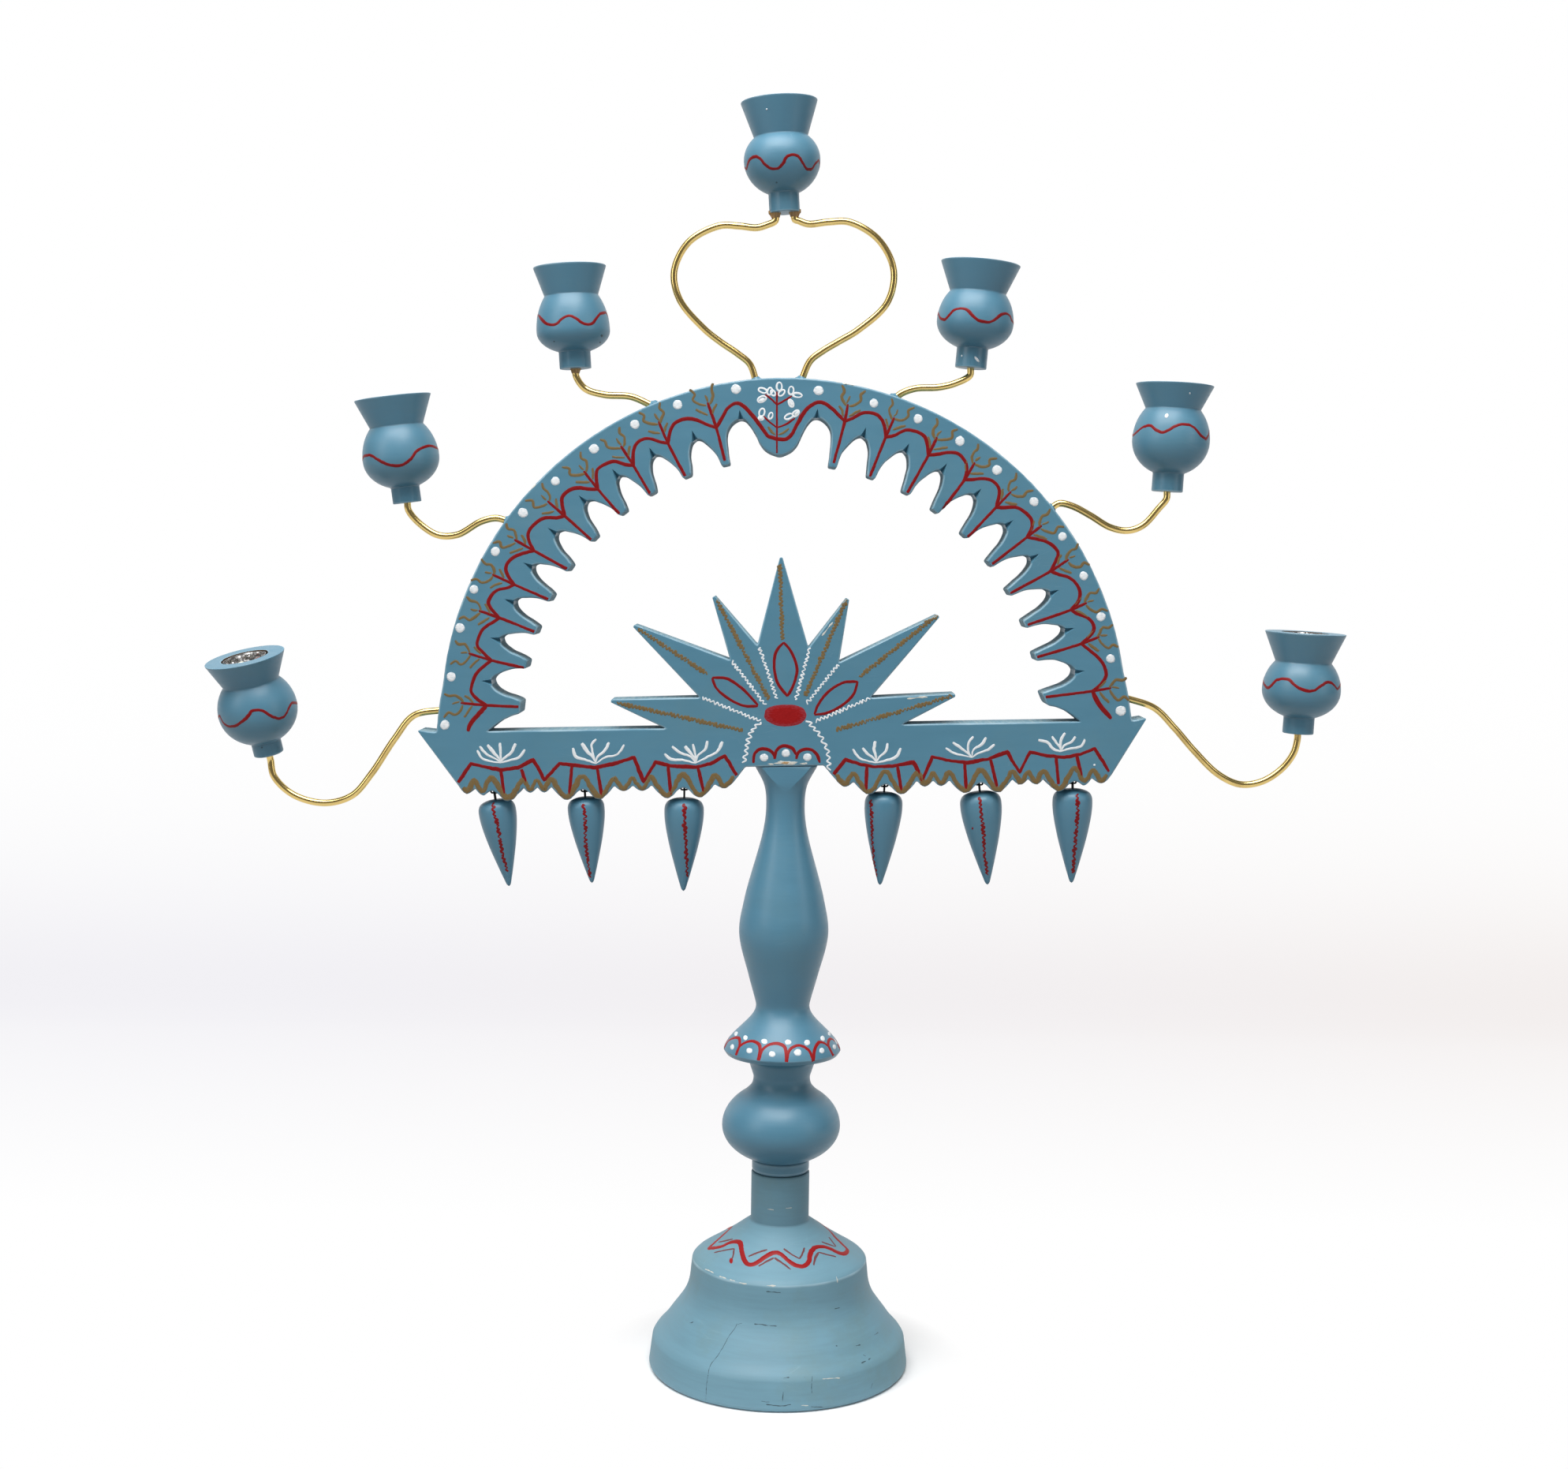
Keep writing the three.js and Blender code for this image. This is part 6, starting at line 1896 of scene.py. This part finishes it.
cupPaint = {
    "lines": {
        "lower_left": [
            (278.5, 907), (283, 916), (288, 920), (294, 921), (299.5, 919.5), (309, 913), (315, 907),
            (319, 901.5), (326, 900), (334, 901.5), (341.5, 906.5), (348, 909.5), (353.5, 910.7),
            (359, 909), (363, 904.5), (366.5, 897), (370, 891),
        ],
        "middle_left": [
            (461.5, 578), (469.5, 577), (478, 582), (489.5, 588), (498, 590), (508, 589.8), (516, 586),
            (522, 580.5), (528, 572), (537, 567), (545.7, 565), (554.5, 568),
        ],
        "upper_left": [
            (682, 399), (690.8, 409), (698, 411.7), (705.8, 410.5), (712.5, 404), (720.7, 400),
            (729.5, 403), (738, 409), (744.5, 411.2), (750.7, 410), (755.7, 404), (760.7, 398),
            (768, 396),
        ],
        "top": [
            (946.5, 214), (950, 203), (957, 198.7), (963, 200.5), (969.5, 208), (978, 213.7), (987, 213),
            (993, 206.7), (998, 198.5), (1004.5, 196), (1012, 198), (1018, 206.7), (1023, 214),
            (1029.5, 214), (1033, 208.5), (1038, 203),
        ],
        "upper_right": [
            (1189.5, 396.7), (1192, 403), (1197.5, 405), (1203, 400), (1209, 393.5), (1218, 391),
            (1226.7, 393), (1231.7, 398.5), (1239, 405), (1248, 408), (1255.5, 408), (1263, 404),
            (1269, 399), (1276, 397.5), (1280.5, 400.5), (1283, 406.5),
        ],
        "middle_right": [
            (1436.5, 552), (1442, 547), (1449, 541.5), (1459, 539.5), (1465, 544.5), (1474, 548),
            (1482.7, 544.5), (1490, 540), (1500, 537.7), (1510, 539.5), (1516.5, 544.5), (1522.7, 552),
            (1529, 556.5),
        ],
        "lower_right": [
            (1603, 868), (1607.5, 872), (1612.5, 868), (1618.7, 862), (1627.5, 860.5), (1635, 862),
            (1641, 868), (1650, 873.5), (1660, 876), (1667.5, 874.7), (1674.5, 869.7), (1683.7, 864.7),
            (1690, 867), (1695.5, 873.5),
        ],
    },
    "line": 1.45, "swing": 1.6, "pitch": 42,
    "splashes": [
        ("upper_right", (1238.5, 455.5, 1.8, 5, -40)), ("upper_right", (1219.5, 451, 0.9, 1.4, 0)),
        ("middle_right", (1479, 527, 2.4, 3.4, 30)), ("middle_right", (1508.5, 498.5, 1, 1.4, 0)),
        ("top", (972, 138.5, 0.9, 1.3, 0)),
    ],
    "specks": [
        ("lower_left", (332, 947.5, 1.2, 1.2, 0)), ("upper_left", (763, 425.5, 1.6, 2.2, 0)),
        ("upper_left", (761, 434, 1, 1.2, 0)), ("top", (984.5, 231.5, 1.4, 1.4, 0)),
        ("upper_left", (702.5, 433, 1.3, 1.1, 0)),
    ],
}


def paintCups():
    white, dark = newBrush(), newBrush()
    for where, line in cupPaint["lines"].items():
        red = newBrush()
        surface, place = surfaceOf(cupPieces[where]), cupPlace(where)
        front = traced(surface, line, 2)
        middle = sum(polar(place, spot)[1] for spot, normal in front) / len(front)
        low, high = middle - cupPaint["swing"], middle + cupPaint["swing"]
        for hits in (front, roundTheBack(surface, place, front, low, high, cupPaint["pitch"])):
            stroke(red, hits, cupPaint["line"], ends=(1, 1), uneven=0.2)
        finishBrush(red, "cup_line_" + where, paints["red"], "upper")
        for brush, spots, rise in ((white, cupPaint["splashes"], 0.16), (dark, cupPaint["specks"], 0.05)):
            for home, spot in spots:
                if home == where:
                    dabAt(brush, surface, spot, rise, sides=12)
    finishBrush(white, "cup_splashes", paints["white"], "upper")
    finishBrush(dark, "cup_specks", paints["hairline"], "upper")


dropPaint = {
    1: [(625, 1018), (626, 1029), (631, 1046), (634, 1066), (637.6, 1085), (643.5, 1105)],
    2: [(739.6, 1020), (741, 1029), (742, 1043), (742.7, 1072), (745, 1090), (748.5, 1112)],
    3: [(867.5, 1019), (867.8, 1038), (869, 1060), (870, 1085), (871.5, 1112)],
    4: [(1104, 1014), (1104.7, 1030.6), (1105.6, 1057), (1107, 1086.5), (1111.5, 1112)],
    5: [(1241.6, 1010), (1243.8, 1027.6), (1246.8, 1054), (1248, 1083.5), (1252, 1109)],
    6: [(1365.5, 1006.7), (1366.5, 1027.6), (1364.4, 1054), (1362, 1083.5), (1360.3, 1107)],
}
dropSpecks = {5: (1233, 1050, 1.3, 1.7)}
# the zigzag of each drop, in pixels; it swings less below lowFrom
dropWay = {"pitch": 5.4, "swing": 1.5, "lowSwing": 1.1, "lowFrom": 1085, "line": 1.1}


def paintDrops():
    for number, line in dropPaint.items():
        red = newBrush()
        surface = surfaceOf(dropPieces[number])
        wavy = []
        for start, end in zip(line, line[1:]):
            swing = dropWay["swing"] if end[1] < dropWay["lowFrom"] else dropWay["lowSwing"]
            wavy += zigzag(start, end, dropWay["pitch"], swing)
        stroke(red, traced(surface, wavy, 1.5), dropWay["line"], ends=(1, 0.7), step=0.3, uneven=0.6)
        if number in dropSpecks:
            dabAt(red, surface, dropSpecks[number], 0.04, sides=12)
        finishBrush(red, f"drop_line_{number}", paints["red"], f"drop_{number}")


# Cracks, scuffs and chips that the photograph shows on the foot and the board, and one painted highlight on
# the board's edge
woodMarks = {
    "cracks": [
        [
            (934.5, 1677.5), (932, 1683), (924, 1694), (917, 1707), (909.5, 1719), (901, 1730),
            (898, 1741), (896, 1754), (894.7, 1776),
        ],
        [(1030, 1744), (1029, 1755), (1029.4, 1766)], [(993, 1764), (992, 1776)],
    ],
    "scuffs": [
        [(1058, 1659), (1065, 1657.5)], [(993, 1747), (1001, 1745.5)], [(1104, 1760), (1106.5, 1753)],
        [(965, 1776), (976, 1777.5)], [(971, 1780), (990, 1782), (1003, 1780)],
        [(1028, 1783), (1045, 1784)], [(1085, 1706), (1091, 1704.5)], [(1094, 1717), (1098, 1719)],
        [(1059.5, 1706), (1062, 1706)], [(1108, 1692), (1114, 1689)], [(1092, 1728), (1098, 1725)],
        [(971, 1637), (990, 1638.5)], [(956, 1678), (985, 1681)], [(935, 1679), (941, 1677)],
        [(874, 1677), (879, 1676)], [(1101, 1724), (1104, 1721)],
    ],
    "chips": [
        [(894, 1608.5), (905, 1613.5)], [(912, 1617.5), (921, 1620.5)], [(925, 1622), (932, 1624)],
        [(937, 1626), (947, 1627.5)], [(972, 1629.5), (984, 1630)], [(1060.5, 1618), (1062, 1626)],
        [(832, 1746), (838, 1752)], [(858, 1765), (864, 1767)], [(1016, 1781.5), (1025, 1781.5)],
    ],
    "fineChips": [
        [(973, 1532.5), (981, 1533.5)], [(996, 1531.5), (1004, 1531)], [(1042, 1748), (1065, 1746.5)],
    ],
    # pale strokes on the board's edges: chips, and the first one, at the outer left of the arch, is a painted
    # highlight
    "edgeChipsAndHighlight": [
        [(671, 622.5), (675.5, 618), (680, 613.5)], [(1068, 485.3), (1076, 486.8), (1084, 488.5)],
        [(1060, 484), (1065, 484.8)], [(1042, 806), (1049, 797), (1056, 789)],
        [(1150, 885.8), (1163, 884.3), (1176, 883.5)],
    ],
    "seatChips": [(996, 967.4, 13.5, 2.5, 0), (1019, 968, 5, 1.2, -3), (977.5, 968.6, 4.5, 1.2, 2)],
    "seatWood": (995.5, 967, 4.6, 1.7),
    # widths
    "crackLine": 0.3, "scuffLine": 0.45, "chipLine": 0.5, "fineChipLine": 0.35, "edgeChipAndHighlightLine": 0.8,
}


def addMarks():
    dark, pale, boardPaleAndHighlight = newBrush(), newBrush(), newBrush()
    surface = surfaceOf(footPiece)
    for line in woodMarks["cracks"]:
        stroke(dark, traced(surface, line, 2), woodMarks["crackLine"], rise=0.02, ends=(0.4, 0.4), uneven=0.9)
    for line in woodMarks["scuffs"]:
        stroke(dark, traced(surface, line, 1), woodMarks["scuffLine"], rise=0.02, ends=(0.2, 0.2), uneven=0.9)
    for kind in ("chip", "fineChip"):
        for line in woodMarks[kind + "s"]:
            stroke(pale, traced(surface, line, 1), woodMarks[kind + "Line"], rise=0.03, ends=(0.2, 0.2),
                   step=0.3, uneven=0.9)
    for line in woodMarks["edgeChipsAndHighlight"]:
        stroke(boardPaleAndHighlight, traced(boardFace, line, 1), woodMarks["edgeChipAndHighlightLine"], rise=0.04, ends=(0.3, 0.3),
               uneven=0.8)
    for spot in woodMarks["seatChips"]:
        dabAt(boardPaleAndHighlight, boardFace, spot, 0.04, 0.6)
    wood = newBrush()
    dabAt(wood, boardFace, woodMarks["seatWood"], 0.06, 0.4)
    finishBrush(wood, "seat_wood", woods["plain"], "upper")
    finishBrush(dark, "foot_cracks", paints["hairline"], "base")
    finishBrush(pale, "foot_chips", paints["bareChip"], "base")
    finishBrush(boardPaleAndHighlight, "board_chips_and_highlight", paints["bareChip"], "upper")


paintSkirt()
paintDome()
paintCups()
paintDrops()
addMarks()
print("turned pieces painted")


# A pale sweep of paper under and behind the candelabra, white to the camera, with painted shade along its
# bend, in metres
sweep = {
    "near": -1.6, "bend": 0.62, "curve": 0.55, "top": 2.4, "half": 2.6, "paper": rgb(246, 246, 246),
    "distant": rgb(136, 136, 136), "cool": (0.885, 0.875, 0.91, 1), "warm": (0.90, 0.855, 0.835, 1),
    "shadow": (0.058, 0.085),    # the candelabra's shadow shows on the paper up to here, then fades out
}


def makeSweep():
    # rows of the paper from the front to the top: distance, height and how much of the painted shade at the
    # bend shows
    rows = [(sweep["near"], 0, 0), (-0.4, 0, 0), (0.2, 0, 0)]
    steps, darkest, fade = 24, 3, 5.5
    for i in range(steps + 1):
        turn = math.pi / 2 * i / steps
        rows.append((sweep["bend"] + sweep["curve"] * math.sin(turn), sweep["curve"] * (1 - math.cos(turn)),
                     math.exp(-((i - darkest) / fade) ** 2)))
    rows.append((sweep["bend"] + sweep["curve"], sweep["top"], 0))
    points, faces, shade = [], [], []
    columns = 9
    for y, z, bendShade in rows:
        for i in range(columns):
            points.append(((2 * i / (columns - 1) - 1) * sweep["half"], y, z))
            shade.append(bendShade)
    for k in range(len(rows) - 1):
        for i in range(columns - 1):
            a = k * columns + i
            faces.append((a, a + 1, a + columns + 1, a + columns))
    mesh = bpy.data.meshes.new("sweep")
    mesh.from_pydata(points, [], faces)
    mesh.attributes.new("bend", "FLOAT", "POINT").data.foreach_set("value", shade)
    mesh.shade_smooth()
    paper, tree, shader = newMaterial("paper")
    shader.inputs["Roughness"].default_value = 0.9
    spot = objectSpot(tree)
    x = put(tree, "ShaderNodeSeparateXYZ", {0: spot}).outputs["X"]
    # painted shade on the bend, cool at the left and warm at the right
    bendShade = blend(tree, span(tree, x, -0.4, 0.9), sweep["cool"], sweep["warm"])
    shown = blend(tree, markOf(tree, "bend"), (1, 1, 1, 1), bendShade)
    light = put(tree, "ShaderNodeEmission", {"Color": shown, "Strength": 1.0})
    seen = put(tree, "ShaderNodeLightPath").outputs
    direct = sums(tree, "MAXIMUM", seen["Is Glossy Ray"], seen["Is Transmission Ray"])
    direct = sums(tree, "MAXIMUM", seen["Is Camera Ray"], direct)
    far = put(tree, "ShaderNodeVectorMath", {0: spot}, operation="LENGTH").outputs["Value"]
    away = span(tree, far, *sweep["shadow"])
    # farther off, the sweep gives the model less light than it shows
    unseen = times(tree, away, minus(tree, 1.0, seen["Is Camera Ray"]))
    plug(tree, shader.inputs["Base Color"], blend(tree, unseen, sweep["paper"], sweep["distant"]))
    mix = put(tree, "ShaderNodeMixShader", {0: times(tree, direct, away), 1: shader.outputs[0],
                                            2: light.outputs[0]})
    plug(tree, tree.nodes["Material Output"].inputs["Surface"], mix.outputs[0])
    mesh.materials.append(paper)
    floor = bpy.data.objects.new("sweep", mesh)
    bpy.context.scene.collection.objects.link(floor)


# Soft boxes: one large above and in front, a smaller one at the left and a weak fill at the right
lamps = {
    "top": {"at": (-0.15, -0.5, 1.5), "size": (1.3, 0.9), "power": 27},
    "left": {"at": (-1.2, -0.9, 0.9), "size": (0.5, 1.1), "power": 5.2},
    "right": {"at": (1.3, -0.8, 0.7), "size": (0.4, 1.0), "power": 2.8},
}
worldLight = 0.2
aim = Vector((0, 0, 0.27))       # the lamps look at the candelabra's middle


def makeLights():
    for name, lamp in lamps.items():
        light = bpy.data.lights.new(name, "AREA")
        light.shape = "RECTANGLE"
        light.size, light.size_y = lamp["size"]
        light.energy = lamp["power"]
        holder = bpy.data.objects.new(name, light)
        holder.location = lamp["at"]
        holder.rotation_euler = (aim - Vector(lamp["at"])).to_track_quat("-Z", "Y").to_euler()
        bpy.context.scene.collection.objects.link(holder)
    world = bpy.data.worlds.new("studio")
    bpy.context.scene.world = world
    world.use_nodes = True
    tree = world.node_tree
    seen = put(tree, "ShaderNodeLightPath").outputs
    direct = sums(tree, "MAXIMUM", seen["Is Camera Ray"], seen["Is Transmission Ray"])
    sky = tree.nodes["Background"].inputs
    plug(tree, sky["Color"], (1, 1, 1, 1))
    plug(tree, sky["Strength"], span(tree, direct, 0.0, 1.0, worldLight, 1.0))


makeSweep()
makeLights()
bpy.context.scene.view_settings.view_transform = "Standard"
print("studio ready")
